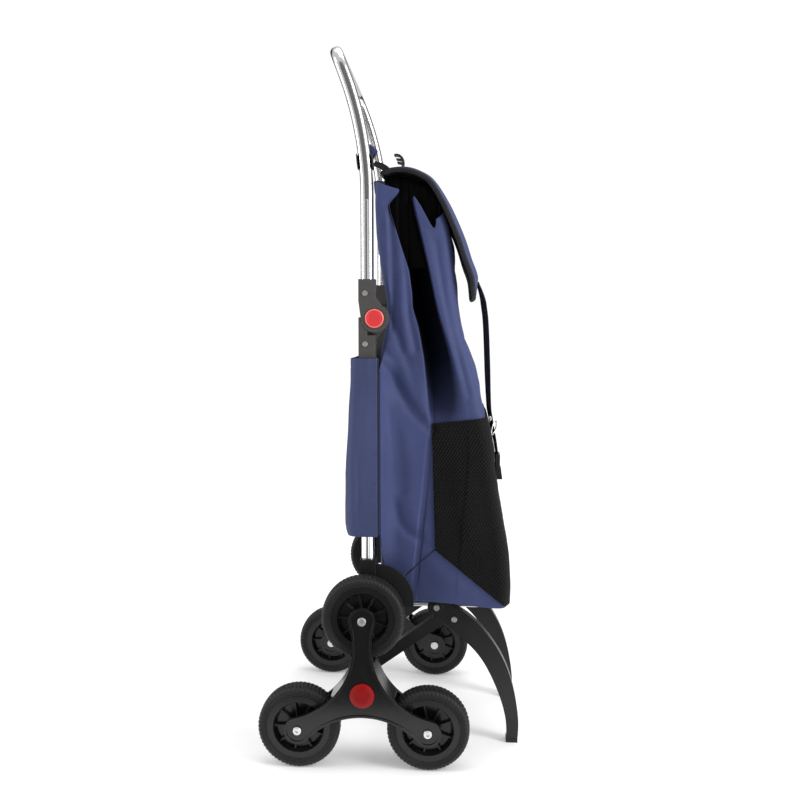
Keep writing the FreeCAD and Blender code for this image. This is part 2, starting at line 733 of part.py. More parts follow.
def make_bag():
    """Soft bag as a hollow shell that is open at the top, under the lid."""
    half, wall = mm("bag_half"), mm("bag_wall")
    outer = slab(BAG_SIDE, -half, half)
    corners = [point(wall - half, ahead, height) for ahead, height in BAG_SIDE]
    inner_face = Part.Face(Part.makePolygon(corners + corners[:1])).makeOffset2D(-wall)
    inner = inner_face.extrude(X_AXIS * 2 * (half - wall))
    mouth = box((-108, 108), (29, 98), (730, 900))
    keep("bag_shell", outer.cut([inner, mouth]))
    keep("base_board", slab([(30, 227.5), (184, 217.5), (184, 221.5), (30, 231.5)], -112, 112))
    keep("mesh_wrap", slab(MESH_SIDE, -half - mm("mesh_thickness"),
                           half + mm("mesh_thickness")).cut(outer))


def make_back_sleeve():
    """Fabric panel behind the tubes that wraps round them to the bag."""
    reach, cloth = 152.0, 2.2
    low, high = 323.0, 574.0
    rear, front = -20.0, 18.0
    outer = box((-reach, reach), (rear, front), (low, high))
    inner = box((cloth - reach, reach - cloth), (rear + cloth, front + 1), (low - 1, high + 1))
    returns = [box(span(side, mm("bag_half") + 3, reach), (front - cloth, front), (low, high))
               for _, side in SIDES]
    keep("back_sleeve", fused([outer.cut(inner)] + returns))


def make_lid():
    """Stiffened flap over the mouth, hinged on its back edge."""
    half = mm("lid_half")
    keep("lid_flap", slab(band(LID_LINE, mm("lid_thickness")), -half, half))
    ladder = slab([(144.3, 715), (150.5, 716), (158, 692), (153, 689)], -16, 16)
    slots = [box((-13, 13), (140, 160), (height, height + 4)) for height in (696, 706)]
    keep("lid_buckle", ladder.cut([slots[0], slots[1], slab(band(LID_LINE, 0.01), -half, half)]))


def make_strap():
    """Webbing: a root sewn to the lid, and the part that hangs from it to the buckle."""
    keep("strap_root", slab(band(STRAP_ROOT_LINE, 1.8), -12.5, 12.5))
    strap = slab(band(STRAP_LINE, 1.8), -12.5, 12.5)
    keep("lid_strap", strap)
    insert = box((-17, 17), (187.6, 194.6), (401.8, 421)).cut(strap)
    keep("buckle_insert", max(insert.Solids, key=lambda solid: solid.Volume))
    socket = slab([(189.4, 383), (188.2, 401), (196, 401), (198.5, 383)], -17, 17)
    keep("buckle_socket", socket)


def make_zip_pull():
    """Small eyelet with a larger ring hanging from it, at the top of the mesh pocket."""
    place = (-27.0, 178.8)
    eyelet = Part.makeTorus(3.2, 0.9, point(place[0], place[1], 478), Vector(0.35, 1, 0))
    ring = Part.makeTorus(10.4, 1.2, point(place[0] + 0.6, place[1] + 5.6, 463.4),
                          Vector(0.38, 1, 0.25))
    keep("zip_pull", group([eyelet, ring]))


def make_cart_hook():
    """Ribbed plastic hook on the lid, for hanging the trolley on a shop trolley."""
    width = 14.0
    spine = band([(31.5, 876), (36, 876.3), (40.5, 875), (44.5, 871.5), (46.8, 867), (47, 861),
                  (45.5, 856), (45, 850), (45, 838.5)], 3)
    teeth = [[(34.5, 869.6), (44, 868.6), (44, 865.8), (34.8, 867.4)],
             [(36.2, 864.6), (44.5, 863.4), (44.5, 860.6), (36.4, 862.4)]]
    foot = box((-width / 2, width / 2), (34, 56), (838.5, 841))
    keep("cart_hook", fused([slab(outline, -width / 2, width / 2)
                             for outline in [spine] + teeth] + [foot]))


make_bag()
make_back_sleeve()
make_lid()
make_strap()
make_zip_pull()
make_cart_hook()


# ---------------------------------------------------------------- folding shelf and legs

def make_shelf_tube():
    """U-shaped aluminium tube under the bag."""
    offset, height, radius = mm("rod_offset"), mm("rod_height"), mm("rod_radius")
    rear, front, corner = 18.0, 181.0, 26.0
    diagonal = corner * (1 - math.sqrt(0.5))
    edges = []
    for side in (1, -1):
        edges.append([
            Part.LineSegment(point(side * offset, rear, height),
                             point(side * offset, front - corner, height)).toShape(),
            Part.Arc(point(side * offset, front - corner, height),
                     point(side * (offset - diagonal), front - diagonal, height),
                     point(side * (offset - corner), front, height)).toShape()])
    across = Part.LineSegment(point(offset - corner, front, height),
                              point(corner - offset, front, height)).toShape()
    path = Part.Wire(edges[0] + [across] + edges[1][::-1])

    def swept(section_radius):
        circle = Part.makeCircle(section_radius, point(offset, rear, height), Vector(0, 1, 0))
        return path.makePipeShell([Part.Wire(circle)], True, False)

    tube = swept(radius).cut(swept(radius - 1.2))
    holes = [cross_cylinder(2.0, -100, 100, *LEG_BOLTS[0])]
    keep("shelf_tube", tube.cut(holes))


def make_shelf_knuckles():
    """Plastic knuckles that turn on the fold rod and hold the shelf tube."""
    height = mm("rod_height")
    shapes = []
    for _, side in SIDES:
        low, high = span(side, mm("rod_offset") - 8, mm("rod_offset") + 8)
        sleeve = cross_cylinder(9, low, high, mm("tube_ahead"), height)
        arm = box((low, high), (mm("tube_ahead"), 34), (height - 7.5, height + 7.5))
        tube_hole = Part.makeCylinder(mm("rod_radius"), 30, point(side * mm("rod_offset"), 48,
                                                                  height), Vector(0, 1, 0))
        rod_hole = cross_cylinder(mm("fold_rod_radius") + mm("running_gap"), -200, 200,
                                  mm("tube_ahead"), height)
        shapes.append(fused([sleeve, arm]).cut([tube_hole, rod_hole]))
    keep("shelf_knuckles", group(shapes))


LEG_BOLTS = ((100.0, 204.0), (126.0, 186.5))
LEG_FRONT = [(100, 217.5), (124, 207), (147, 193), (174, 166), (203, 118), (218.5, 62),
             (222, 30), (220.5, 3)]
LEG_REAR = [(204.5, 3), (204, 28), (198.5, 56), (183, 97), (162, 133), (133, 162), (112, 180), (100, 190.5)]


def leg_shape():
    """Curved leg moulding: two smooth edges, a flat foot and a round boss."""
    x = mm("leg_inner")

    def smooth(points):
        curve = Part.BSplineCurve()
        curve.interpolate([point(x, ahead, height) for ahead, height in points])
        return curve.toShape()

    boss = Part.Arc(point(x, *LEG_REAR[-1]), point(x, LEG_BOLTS[0][0] - 13.5, LEG_BOLTS[0][1]),
                    point(x, *LEG_FRONT[0])).toShape()
    foot = Part.LineSegment(point(x, *LEG_FRONT[-1]), point(x, *LEG_REAR[0])).toShape()
    outline = Part.Wire([smooth(LEG_FRONT), foot, smooth(LEG_REAR), boss])
    leg = Part.Face(outline).extrude(X_AXIS * mm("leg_thickness"))
    ring = cross_cylinder(9.5, x + mm("leg_thickness"), x + mm("leg_thickness") + 1.6,
                          *LEG_BOLTS[0])
    return fused([leg, ring])


def strut_line(along, across):
    """A place along the strut's centre line from the axle, and across it."""
    slope = math.radians(mm("strut_angle"))
    return (along * math.cos(slope) - across * math.sin(slope),
            mm("hub_height") + along * math.sin(slope) + across * math.cos(slope))


def strut_slab(start, end, half, x_start, x_end):
    corners = [(start, -half), (end, -half), (end, half), (start, half)]
    return slab([strut_line(*corner) for corner in corners], x_start, x_end)


def leg_bolt(ahead, height):
    outer = mm("leg_inner") + mm("leg_thickness")
    near_tube = abs(height - mm("rod_height")) < 1
    start = mm("rod_offset") - 7 if near_tube else mm("leg_inner") - 2
    face = outer + 1.6 if near_tube else outer
    shank = cross_cylinder(2.0, start, face, ahead, height)
    head = cross_cylinder(4.2, face, face + 2.2, ahead, height)
    slot = cross_cylinder(1.6, face + 1, face + 2.2, ahead, height)
    return fused([shank, head]).cut(slot)


def make_base_side(side_name, side):
    """Leg, strut, and the shapes that the shared nodes are made from."""
    inner, outer = mm("leg_inner"), mm("leg_inner") + mm("leg_thickness")
    bolts = [leg_bolt(*place) for place in LEG_BOLTS]
    leg = leg_shape()
    half = mm("strut_height") / 2
    strut = strut_slab(16, 150, half, inner, outer).cut(
        [strut_slab(10, 160, half - 1.5, inner + 1.5, outer - 1.5), leg])
    strut = max(strut.Solids, key=lambda solid: solid.BoundBox.DiagonalLength)
    keep("leg_" + side_name, mirrored_if_right(leg.cut(bolts), side))
    keep("strut_" + side_name, mirrored_if_right(strut, side))

    pad = box((inner - 0.6, outer + 0.6), (204, 221), (0, 6.5)).cut(leg)
    hub = cross_cylinder(13, inner, outer, HUB_AHEAD, mm("hub_height"))
    plug = strut_slab(8, 34, half - 1.6, inner + 1.6, outer - 1.6)
    shoulder = strut_slab(4, 16, half, inner, outer)
    seat = cross_cylinder(mm("axle_radius") + 0.15, inner, outer, HUB_AHEAD, mm("hub_height"))
    return [mirrored_if_right(shape, side) for shape in (
        pad, fused([hub, plug, shoulder]).cut([seat, clip_mouth(inner, outer)]), group(bolts))]


def clip_mouth(x_start, x_end):
    """Curved slot that lets the clip swing off the axle about the fold rod."""
    swing = math.hypot(mm("tube_ahead"), mm("rod_height") - mm("hub_height"))
    clear = mm("axle_radius") + 0.15
    centre = (mm("tube_ahead"), mm("rod_height"))
    ring = cross_cylinder(swing + clear, x_start, x_end, *centre).cut(
        cross_cylinder(swing - clear, x_start, x_end, *centre))
    behind = box((x_start, x_end), (-30, HUB_AHEAD), (mm("hub_height") - 30,
                                                      mm("hub_height") + 30))
    return ring.common(behind)


make_shelf_tube()
make_shelf_knuckles()
shared = [make_base_side(side_name, side) for side_name, side in SIDES]
for label, shapes in zip(("foot_pads", "axle_clips", "leg_bolts"), zip(*shared)):
    keep(label, group(list(shapes)))


# ---------------------------------------------------------------- check and write

doc.recompute()
for item in doc.Objects:
    if "Invalid" in item.State or "Error" in item.State:
        raise RuntimeError("%s failed: %s" % (item.Name, item.State))
for part in subparts:
    if part.Shape.isNull() or not part.Shape.isValid():
        raise RuntimeError("%s has no valid shape" % part.Label)

os.makedirs("parts", exist_ok=True)
for part in subparts:
    part.Shape.exportStep(os.path.join("parts", part.Label + ".step"))
print("%d sub-parts written" % len(subparts))
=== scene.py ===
import math

import bmesh
import bpy
import numpy as np
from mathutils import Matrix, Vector


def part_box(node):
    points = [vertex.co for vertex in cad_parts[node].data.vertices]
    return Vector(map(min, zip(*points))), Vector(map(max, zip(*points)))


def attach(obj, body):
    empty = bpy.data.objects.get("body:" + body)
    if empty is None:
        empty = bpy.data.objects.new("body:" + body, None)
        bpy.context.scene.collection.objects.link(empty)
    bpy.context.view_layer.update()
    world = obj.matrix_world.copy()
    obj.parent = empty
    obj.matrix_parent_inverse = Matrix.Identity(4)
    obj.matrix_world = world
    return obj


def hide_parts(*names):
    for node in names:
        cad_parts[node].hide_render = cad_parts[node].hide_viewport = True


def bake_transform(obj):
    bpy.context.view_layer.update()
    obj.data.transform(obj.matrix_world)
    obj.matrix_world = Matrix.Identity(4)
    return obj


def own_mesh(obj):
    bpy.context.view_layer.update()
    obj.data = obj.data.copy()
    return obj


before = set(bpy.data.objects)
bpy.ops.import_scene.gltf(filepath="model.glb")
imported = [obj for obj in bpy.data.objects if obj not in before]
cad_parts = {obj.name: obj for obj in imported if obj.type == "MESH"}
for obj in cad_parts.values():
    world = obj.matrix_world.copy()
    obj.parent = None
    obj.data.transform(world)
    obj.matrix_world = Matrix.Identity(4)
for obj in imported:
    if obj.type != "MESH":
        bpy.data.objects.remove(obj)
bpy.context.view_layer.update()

# A stair-climbing shopping trolley. Places along it are "ahead": millimetres in front of the
# axle. Heights are millimetres above the floor. -X is the side that faces the camera.
MM = 0.001


def box_mm(node):
    """The lowest and highest corner of a CAD node, in millimetres."""
    low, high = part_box(node)
    return np.array(low) / MM, np.array(high) / MM


AXLE_LOW, AXLE_HIGH = box_mm("axle")
AXLE_Y = (AXLE_LOW[1] + AXLE_HIGH[1]) / 2
SPLIT_HEIGHT = box_mm("mesh_wrap")[1][2]
BAG_HALF = box_mm("bag_shell")[1][0]
SIDES = (("left", 1), ("right", -1))


def place(x, ahead, height):
    """A point in metres in the shared frame."""
    return Vector((x * MM, (AXLE_Y - ahead) * MM, height * MM))


def to_world(points):
    """(x, ahead, height) rows in millimetres to metres in the shared frame."""
    points = np.asarray(points, float)
    return np.column_stack([points[:, 0], AXLE_Y - points[:, 1], points[:, 2]]) * MM


def add_object(name, data):
    item = bpy.data.objects.new(name, data)
    bpy.context.collection.objects.link(item)
    return item


# ---------------------------------------------------------------- camera and light

def make_camera():
    data = bpy.data.cameras.new("camera")
    data.sensor_width = 36
    data.lens = 42.15
    camera = add_object("camera", data)
    camera.location = place(-1442.8, 130.8, 635.1)
    look = Vector((0.9939, 0.0625, -0.0911))
    camera.rotation_euler = look.to_track_quat("-Z", "Y").to_euler()
    bpy.context.scene.camera = camera


def make_light(name, location, target, size, power):
    data = bpy.data.lights.new(name, "AREA")
    data.shape = "RECTANGLE"
    data.size, data.size_y = size
    data.energy = power
    light = add_object(name, data)
    light.location = location
    light.rotation_euler = (Vector(target) - Vector(location)).to_track_quat("-Z", "Y").to_euler()


def make_card(name, corners, material):
    """A flat surface of the studio."""
    mesh = bpy.data.meshes.new(name)
    mesh.from_pydata(corners, [], [(0, 1, 2, 3)])
    mesh.materials.append(material)
    card = add_object(name, mesh)
    return card


def make_flag(name, centre, across, up, glow):
    """A dim card seen only in reflections, which gives polished metal its dark lines."""
    centre, across, up = Vector(centre), Vector(across), Vector(up)
    corners = [centre - across - up, centre + across - up, centre + across + up,
               centre - across + up]
    flag = make_card(name, corners, flag_material(name, glow))
    flag.visible_camera = flag.visible_shadow = flag.visible_diffuse = False


def make_studio():
    scene = bpy.context.scene
    scene.view_settings.view_transform = "Standard"
    scene.world = bpy.data.worlds.new("studio")
    scene.world.use_nodes = True
    tree = scene.world.node_tree
    background = tree.nodes["Background"]
    background.inputs["Color"].default_value = (1, 1, 1, 1)
    rays = tree.nodes.new("ShaderNodeLightPath")
    level = tree.nodes.new("ShaderNodeMapRange")
    level.inputs["To Min"].default_value = 0.66
    level.inputs["To Max"].default_value = 1.05
    tree.links.new(rays.outputs["Is Camera Ray"], level.inputs["Value"])
    tree.links.new(level.outputs["Result"], background.inputs["Strength"])
    make_light("key", (-1.1, -2.2, 1.5), (0, -0.05, 0.5), (0.9, 1.8), 50)
    make_light("rim", (-0.7, 2.2, 1.3), (0, 0.05, 0.5), (0.7, 1.8), 24)
    make_light("top", (0.1, -0.2, 2.8), (0, 0, 0.4), (1.8, 1.8), 30)
    make_flag("camera_flag", (-2.3, -0.05, 1.25), (0, 0.95, 0), (0, 0, 1.25), 0.13)
    make_flag("floor_flag", (-1.3, -0.05, 0.004), (0, 0.6, 0), (0.9, 0, 0), 0.10)
    make_flag("front_flag", (1.1, -1.0, 1.0), (0.25, 0.5, 0), (0, 0, 1.4), 0.0)
    make_flag("rear_flag", (1.1, 1.1, 1.0), (0.25, -0.5, 0), (0, 0, 1.4), 0.0)
    make_card("floor", [(-9, -9, 0), (9, -9, 0), (9, 9, 0), (-9, 9, 0)], floor_material())


# ---------------------------------------------------------------- material kit

class Graph:
    """Short forms for building a node material."""

    def __init__(self, name):
        self.material = bpy.data.materials.new(name)
        self.material.use_nodes = True
        self.tree = self.material.node_tree
        self.shader = self.tree.nodes["Principled BSDF"]
        self.coords = None

    def node(self, kind, **settings):
        item = self.tree.nodes.new(kind)
        for key, value in settings.items():
            if key in item.inputs:
                item.inputs[key].default_value = value
            else:
                setattr(item, key, value)
        return item

    def link(self, source, target):
        self.tree.links.new(source, target)

    def put(self, value, socket):
        """Gives a socket a number, a colour or a link."""
        if isinstance(value, (int, float)):
            socket.default_value = value
        elif isinstance(value, tuple):
            socket.default_value = (*value, 1)
        else:
            self.link(value, socket)

    def position(self):
        if self.coords is None:
            self.coords = self.node("ShaderNodeTexCoord").outputs["Object"]
        return self.coords

    def uv(self):
        return self.node("ShaderNodeUVMap", uv_map="cloth").outputs["UV"]

    def noise(self, scale, detail=3.0, vector=None, roughness=0.5):
        item = self.node("ShaderNodeTexNoise", Scale=scale, Detail=detail, Roughness=roughness)
        self.link(vector or self.position(), item.inputs["Vector"])
        return item.outputs["Fac"]

    def mapped(self, vector, scale=(1, 1, 1), turn=0.0):
        item = self.node("ShaderNodeMapping", Scale=scale, Rotation=(0, 0, math.radians(turn)))
        self.link(vector, item.inputs["Vector"])
        return item.outputs["Vector"]

    def wave(self, vector, scale, direction="X", distortion=0.0):
        item = self.node("ShaderNodeTexWave", wave_type="BANDS", bands_direction=direction,
                         Scale=scale, Distortion=distortion)
        self.link(vector, item.inputs["Vector"])
        return item.outputs["Fac"]

    def math(self, operation, first, second=0.5):
        item = self.node("ShaderNodeMath", operation=operation)
        self.put(first, item.inputs[0])
        self.put(second, item.inputs[1])
        return item.outputs["Value"]

    def total(self, *parts):
        """The sum of numbers, sockets and (socket, share) pairs."""
        terms = [self.math("MULTIPLY", *part) if isinstance(part, tuple) else part
                 for part in parts]
        result = terms[0]
        for term in terms[1:]:
            result = self.math("ADD", result, term)
        return result

    def ramp(self, factor, stops):
        item = self.node("ShaderNodeValToRGB")
        while len(item.color_ramp.elements) < len(stops):
            item.color_ramp.elements.new(0.5)
        for element, (at, colour) in zip(item.color_ramp.elements, stops):
            element.position = at
            element.color = (*colour, 1)
        self.link(factor, item.inputs["Fac"])
        return item.outputs["Color"]

    def mix(self, factor, first, second):
        item = self.node("ShaderNodeMix", data_type="RGBA")
        for index, value in ((0, factor), (6, first), (7, second)):
            self.put(value, item.inputs[index])
        return item.outputs[2]

    def bump(self, height, strength, distance, under=None):
        item = self.node("ShaderNodeBump", Strength=strength, Distance=distance)
        self.link(height, item.inputs["Height"])
        if under is not None:
            self.link(under, item.inputs["Normal"])
        return item.outputs["Normal"]

    def rounded(self, radius):
        return self.node("ShaderNodeBevel", samples=4, Radius=radius).outputs["Normal"]

    def finish(self, colour, roughness, normal=None, **sockets):
        self.put(colour, self.shader.inputs["Base Color"])
        self.put(roughness, self.shader.inputs["Roughness"])
        if normal is not None:
            self.link(normal, self.shader.inputs["Normal"])
        for name, value in sockets.items():
            self.shader.inputs[name.replace("_", " ")].default_value = value
        return self.material


def grey(*levels):
    """Ramp stops of plain grey from (place, level) pairs."""
    return [(at, (level, level, level)) for at, level in levels]


def scaled(colour, factor, lift=0.0):
    return tuple(min(1, part * factor + lift) for part in colour)


def floor_material():
    """Pale floor with a faint glow that grows away from the trolley."""
    graph = Graph("studio_floor")
    colour = graph.ramp(graph.noise(3.0), grey((0.3, 0.90), (0.7, 0.93)))
    reach = graph.node("ShaderNodeVectorMath", operation="LENGTH")
    graph.link(graph.position(), reach.inputs[0])
    glow = graph.node("ShaderNodeMapRange", interpolation_type="SMOOTHSTEP",
                      **{"From Min": 0.3, "From Max": 2.2, "To Min": 0.14, "To Max": 0.42})
    graph.link(reach.outputs["Value"], glow.inputs["Value"])
    graph.link(glow.outputs["Result"], graph.shader.inputs["Emission Strength"])
    return graph.finish(colour, 0.55, Emission_Color=(1, 1, 1, 1))


def flag_material(name, glow):
    graph = Graph(name)
    colour = graph.ramp(graph.noise(40.0), grey((0.3, 0.010), (0.7, 0.016)))
    return graph.finish(colour, 0.9, Specular_IOR_Level=0.1, Emission_Color=(1, 1, 1, 1),
                        Emission_Strength=glow)


def thread_scale(period):
    """Scale of a wave texture whose bands repeat at a period in metres."""
    return 0.314 / period


def woven_cloth(name, dark, light, shade_name=None, haze=0.09):
    """Plain-woven polyester: fine crossed threads, slight slubs and a soft sheen.

    Where the mesh attribute shade_name is 1, the cloth lies deep in a fold, and there its colour is
    painted black and its sheen and gloss are taken away: painted shade."""
    graph = Graph(name)
    cloth = graph.uv()
    weave = graph.math("MULTIPLY", graph.wave(cloth, thread_scale(0.0009), "X"),
                       graph.wave(cloth, thread_scale(0.0009), "Y"))
    cloud = graph.noise(9.0, 4.0)
    slub = graph.noise(60.0, 2.0, graph.mapped(cloth, (1, 14, 1)))
    tone = graph.total((cloud, 0.55), (slub, 0.3), (weave, 0.18))
    colour = graph.ramp(tone, [(0.25, dark), (0.78, light)])
    sheen, gloss = graph.shader.inputs["Sheen Weight"], graph.shader.inputs["Specular IOR Level"]
    if shade_name:
        # Painted shade: the fold attribute mixes the colour to black and takes away sheen and gloss
        # deep in the side fold.
        shade = graph.node("ShaderNodeAttribute", attribute_name=shade_name).outputs["Fac"]
        colour = graph.mix(shade, colour, (0.002, 0.002, 0.0025))
        clear = graph.math("SUBTRACT", 1.0, shade)
        graph.link(graph.math("MULTIPLY", clear, haze), sheen)
        graph.link(graph.math("MULTIPLY", clear, haze * 3), gloss)
    else:
        sheen.default_value, gloss.default_value = haze, haze * 3
    normal = graph.bump(graph.noise(38.0, 5.0, roughness=0.6), 0.22, 0.0025)
    normal = graph.bump(weave, 0.35, 0.00025, normal)
    return graph.finish(colour, graph.total((cloud, 0.16), 0.52), normal, Sheen_Roughness=0.4,
                        Sheen_Tint=(0.55, 0.6, 0.9, 1))


def mesh_cloth():
    """Black spacer mesh: slanted rows of small diamond openings."""
    graph = Graph("mesh_cloth")
    cloth = graph.uv()
    holes = graph.math("MULTIPLY", *[graph.wave(graph.mapped(cloth, turn=turn),
                                                thread_scale(0.0036)) for turn in (38, -38)])
    colour = graph.ramp(holes, grey((0.05, 0.0008), (0.4, 0.0025))
                        + [(0.85, (0.011, 0.011, 0.0115))])
    colour = graph.mix(graph.total((graph.noise(7.0), 0.4)), colour, (0.002, 0.002, 0.002))
    return graph.finish(colour, 0.6, graph.bump(holes, 0.9, 0.0010), Sheen_Weight=0.03,
                        Sheen_Roughness=0.5, Specular_IOR_Level=0.12)


def webbing_cloth(name="webbing_cloth", colour=(0.009, 0.009, 0.0095)):
    """Heavy woven tape with ribs across it."""
    graph = Graph(name)
    cloth = graph.uv()
    ribs = graph.wave(cloth, 330, "Y", 0.3)
    cords = graph.wave(cloth, 210, "X")
    tone = graph.math("MULTIPLY", graph.total(ribs, graph.noise(900.0, 2.0)), cords)
    painted = graph.ramp(tone, [(0.1, colour), (1.0, scaled(colour, 2.6))])
    return graph.finish(painted, 0.75, graph.bump(tone, 0.7, 0.0006), Sheen_Weight=0.08,
                        Specular_IOR_Level=0.25)


def moulded_plastic(name, colour, roughness, grain=900.0, strength=0.12, shine=0.4):
    """Moulded plastic with a fine spark-eroded grain and slightly rounded edges."""
    graph = Graph(name)
    painted = graph.mix(graph.noise(14.0, 4.0), colour, scaled(colour, 1.35, 0.002))
    rough = graph.total((graph.noise(45.0, 5.0), 0.18), roughness - 0.09)
    normal = graph.bump(graph.noise(grain, 2.0), strength, 0.00015, graph.rounded(0.0012))
    return graph.finish(painted, rough, normal, Specular_IOR_Level=shine)


def tyre_rubber():
    """Matt black rubber with a little dust."""
    graph = Graph("tyre_rubber")
    cloud = graph.noise(22.0, 5.0)
    dust = graph.noise(260.0, 3.0)
    colour = graph.ramp(graph.total((cloud, 0.6), (dust, 0.35)),
                        [(0.25, (0.007, 0.007, 0.0073)), (0.75, (0.019, 0.019, 0.020))])
    return graph.finish(colour, 0.48, graph.bump(dust, 0.25, 0.0002), Specular_IOR_Level=0.22)


def bright_metal(name, colour, roughness, stretch=(1, 1, 0.02), scale=900.0, strength=0.06):
    """Drawn or turned metal with fine lines along it."""
    graph = Graph(name)
    lines = graph.noise(scale, 3.0, graph.mapped(graph.position(), stretch))
    smears = graph.noise(16.0, 5.0)
    painted = graph.mix(smears, colour, scaled(colour, 0.86))
    rough = graph.total((smears, 0.14), roughness - 0.06)
    normal = graph.bump(lines, strength, 0.0001, graph.rounded(0.0006))
    return graph.finish(painted, rough, normal, Metallic=1.0)


def red_plastic(name, node, face, rim, ring, shine=0.5):
    """Glossy red moulding: its face, and a lighter rim beyond a radius from the node's axis."""
    low, high = box_mm(node)
    centre = (low + high) / 2 * MM
    graph = Graph(name)
    split = graph.node("ShaderNodeSeparateXYZ")
    graph.link(graph.position(), split.inputs["Vector"])
    squares = []
    for axis, middle in (("Y", centre[1]), ("Z", centre[2])):
        offset = graph.math("SUBTRACT", split.outputs[axis], middle)
        squares.append(graph.math("MULTIPLY", offset, offset))
    beyond = graph.math("GREATER_THAN", graph.math("SQRT", graph.total(*squares)), ring)
    cloud = graph.noise(30.0, 3.0)
    colour = graph.mix(beyond, graph.mix(cloud, face, scaled(face, 0.86)), rim)
    normal = graph.bump(graph.noise(700.0, 2.0), 0.05, 0.0001, graph.rounded(0.0006))
    return graph.finish(colour, graph.total((cloud, 0.15), 0.26), normal,
                        Specular_IOR_Level=shine, Coat_Weight=shine * 0.3, Coat_Roughness=0.2)


# ---------------------------------------------------------------- mesh kit

def new_object(name, points, faces, material, uv=None):
    """A mesh from (x, ahead, height) millimetres, with an optional (across, along) UV in metres."""
    mesh = bpy.data.meshes.new(name)
    mesh.from_pydata([tuple(row) for row in to_world(points)], [], faces)
    mesh.polygons.foreach_set("use_smooth", [True] * len(mesh.polygons))
    if uv is not None:
        layer = mesh.uv_layers.new(name="cloth")
        corners = np.empty(len(mesh.loops), dtype=np.int32)
        mesh.loops.foreach_get("vertex_index", corners)
        layer.data.foreach_set("uv", np.asarray(uv, float)[corners].ravel())
    mesh.materials.append(material)
    return add_object(name, mesh)


def grid_faces(rows, columns, ring=False, closed=False):
    """Faces of a grid of points; ring joins its last column to its first, closed its rows."""
    faces = []
    for row in range(rows if closed else rows - 1):
        after = (row + 1) % rows
        for column in range(columns if ring else columns - 1):
            beside = (column + 1) % columns
            faces.append((row * columns + column, row * columns + beside,
                          after * columns + beside, after * columns + column))
    return faces


def grid_object(name, rows, material, uv=None, ring=False, closed=False):
    """A sheet through rows of (x, ahead, height) points."""
    return new_object(name, rows.reshape(-1, 3), grid_faces(*rows.shape[:2], ring, closed),
                      material, None if uv is None else uv.reshape(-1, 2))


def apply_modifiers(piece):
    """Makes the modifiers part of the piece's own mesh."""
    bpy.context.view_layer.update()
    graph = bpy.context.evaluated_depsgraph_get()
    mesh = bpy.data.meshes.new_from_object(piece.evaluated_get(graph), depsgraph=graph)
    old = piece.data
    piece.modifiers.clear()
    piece.data = mesh
    mesh.name = old.name
    bpy.data.meshes.remove(old)
    return piece


def thicken(piece, thickness, offset=-1.0, bevel=None):
    """Gives a sheet its real thickness, towards its back by default."""
    solid = piece.modifiers.new("thickness", "SOLIDIFY")
    solid.thickness = thickness * MM
    solid.offset = offset
    if bevel:
        edge = piece.modifiers.new("edge", "BEVEL")
        edge.width = bevel * MM
        edge.segments = 2
        edge.limit_method = "ANGLE"
        edge.angle_limit = math.radians(50)
    return apply_modifiers(piece)


def catmull(points, steps):
    """A smooth line through points, as evenly stepped rows."""
    points = np.asarray(points, float)
    padded = np.vstack([2 * points[0] - points[1], points, 2 * points[-1] - points[-2]])
    line = []
    for index in range(1, len(padded) - 2):
        before, start, end, after = padded[index - 1:index + 3]
        for step in np.linspace(0, 1, steps, endpoint=False):
            line.append(0.5 * (2 * start + (end - before) * step
                               + (2 * before - 5 * start + 4 * end - after) * step ** 2
                               + (3 * start - before - 3 * end + after) * step ** 3))
    line.append(points[-1])
    return np.array(line)


def run_lengths(line):
    """How far along a line each of its points lies."""
    return np.r_[0, np.cumsum(np.linalg.norm(np.diff(line, axis=0), axis=1))]


def resample(line, count):
    """A number of evenly spaced points along a line."""
    runs = run_lengths(line)
    marks = np.linspace(0, runs[-1], count)
    return np.column_stack([np.interp(marks, runs, axis) for axis in line.T])


def tube_along(name, line, radius, material, sides=8, closed=False):
    """A cord of round section along (x, ahead, height) points."""
    line = np.asarray(line, float)
    count = len(line)
    if closed:
        tangents = np.roll(line, -1, axis=0) - np.roll(line, 1, axis=0)
    else:
        tangents = np.gradient(line, axis=0)
    tangents /= np.linalg.norm(tangents, axis=1)[:, None] + 1e-9
    normal = np.cross(tangents[0], (0.0, 0.0, 1.0))
    if np.linalg.norm(normal) < 0.1:
        normal = np.cross(tangents[0], (1.0, 0.0, 0.0))
    runs = run_lengths(line)
    points, uv = [], []
    for spot, tangent, run in zip(line, tangents, runs):
        normal = normal - tangent * np.dot(normal, tangent)
        normal /= np.linalg.norm(normal) + 1e-9
        side = np.cross(tangent, normal)
        for corner in range(sides):
            turn = 2 * math.pi * corner / sides
            points.append(spot + radius * (normal * math.cos(turn) + side * math.sin(turn)))
            uv.append((corner / sides * radius * 6.28 * MM, run * MM))
    faces = grid_faces(count, sides, ring=True, closed=closed)
    if not closed:
        faces.append(tuple(range(sides))[::-1])
        faces.append(tuple(range((count - 1) * sides, count * sides)))
    return new_object(name, points, faces, material, uv)


# ---------------------------------------------------------------- cloth shapes

def smooth_table(rows, spread=6.0):
    """A softened (height, ahead) table as a function of height."""
    rows = np.array(sorted(rows), float)
    fine = np.arange(rows[0, 0] - 40, rows[-1, 0] + 41, 1.0)
    values = np.interp(fine, rows[:, 0], rows[:, 1])
    reach = int(spread * 3)
    bell = np.exp(-0.5 * (np.arange(-reach, reach + 1) / spread) ** 2)
    padded = np.pad(values, reach, mode="edge")
    soft = np.convolve(padded, bell / bell.sum(), mode="valid")
    return lambda height: np.interp(height, fine, soft)


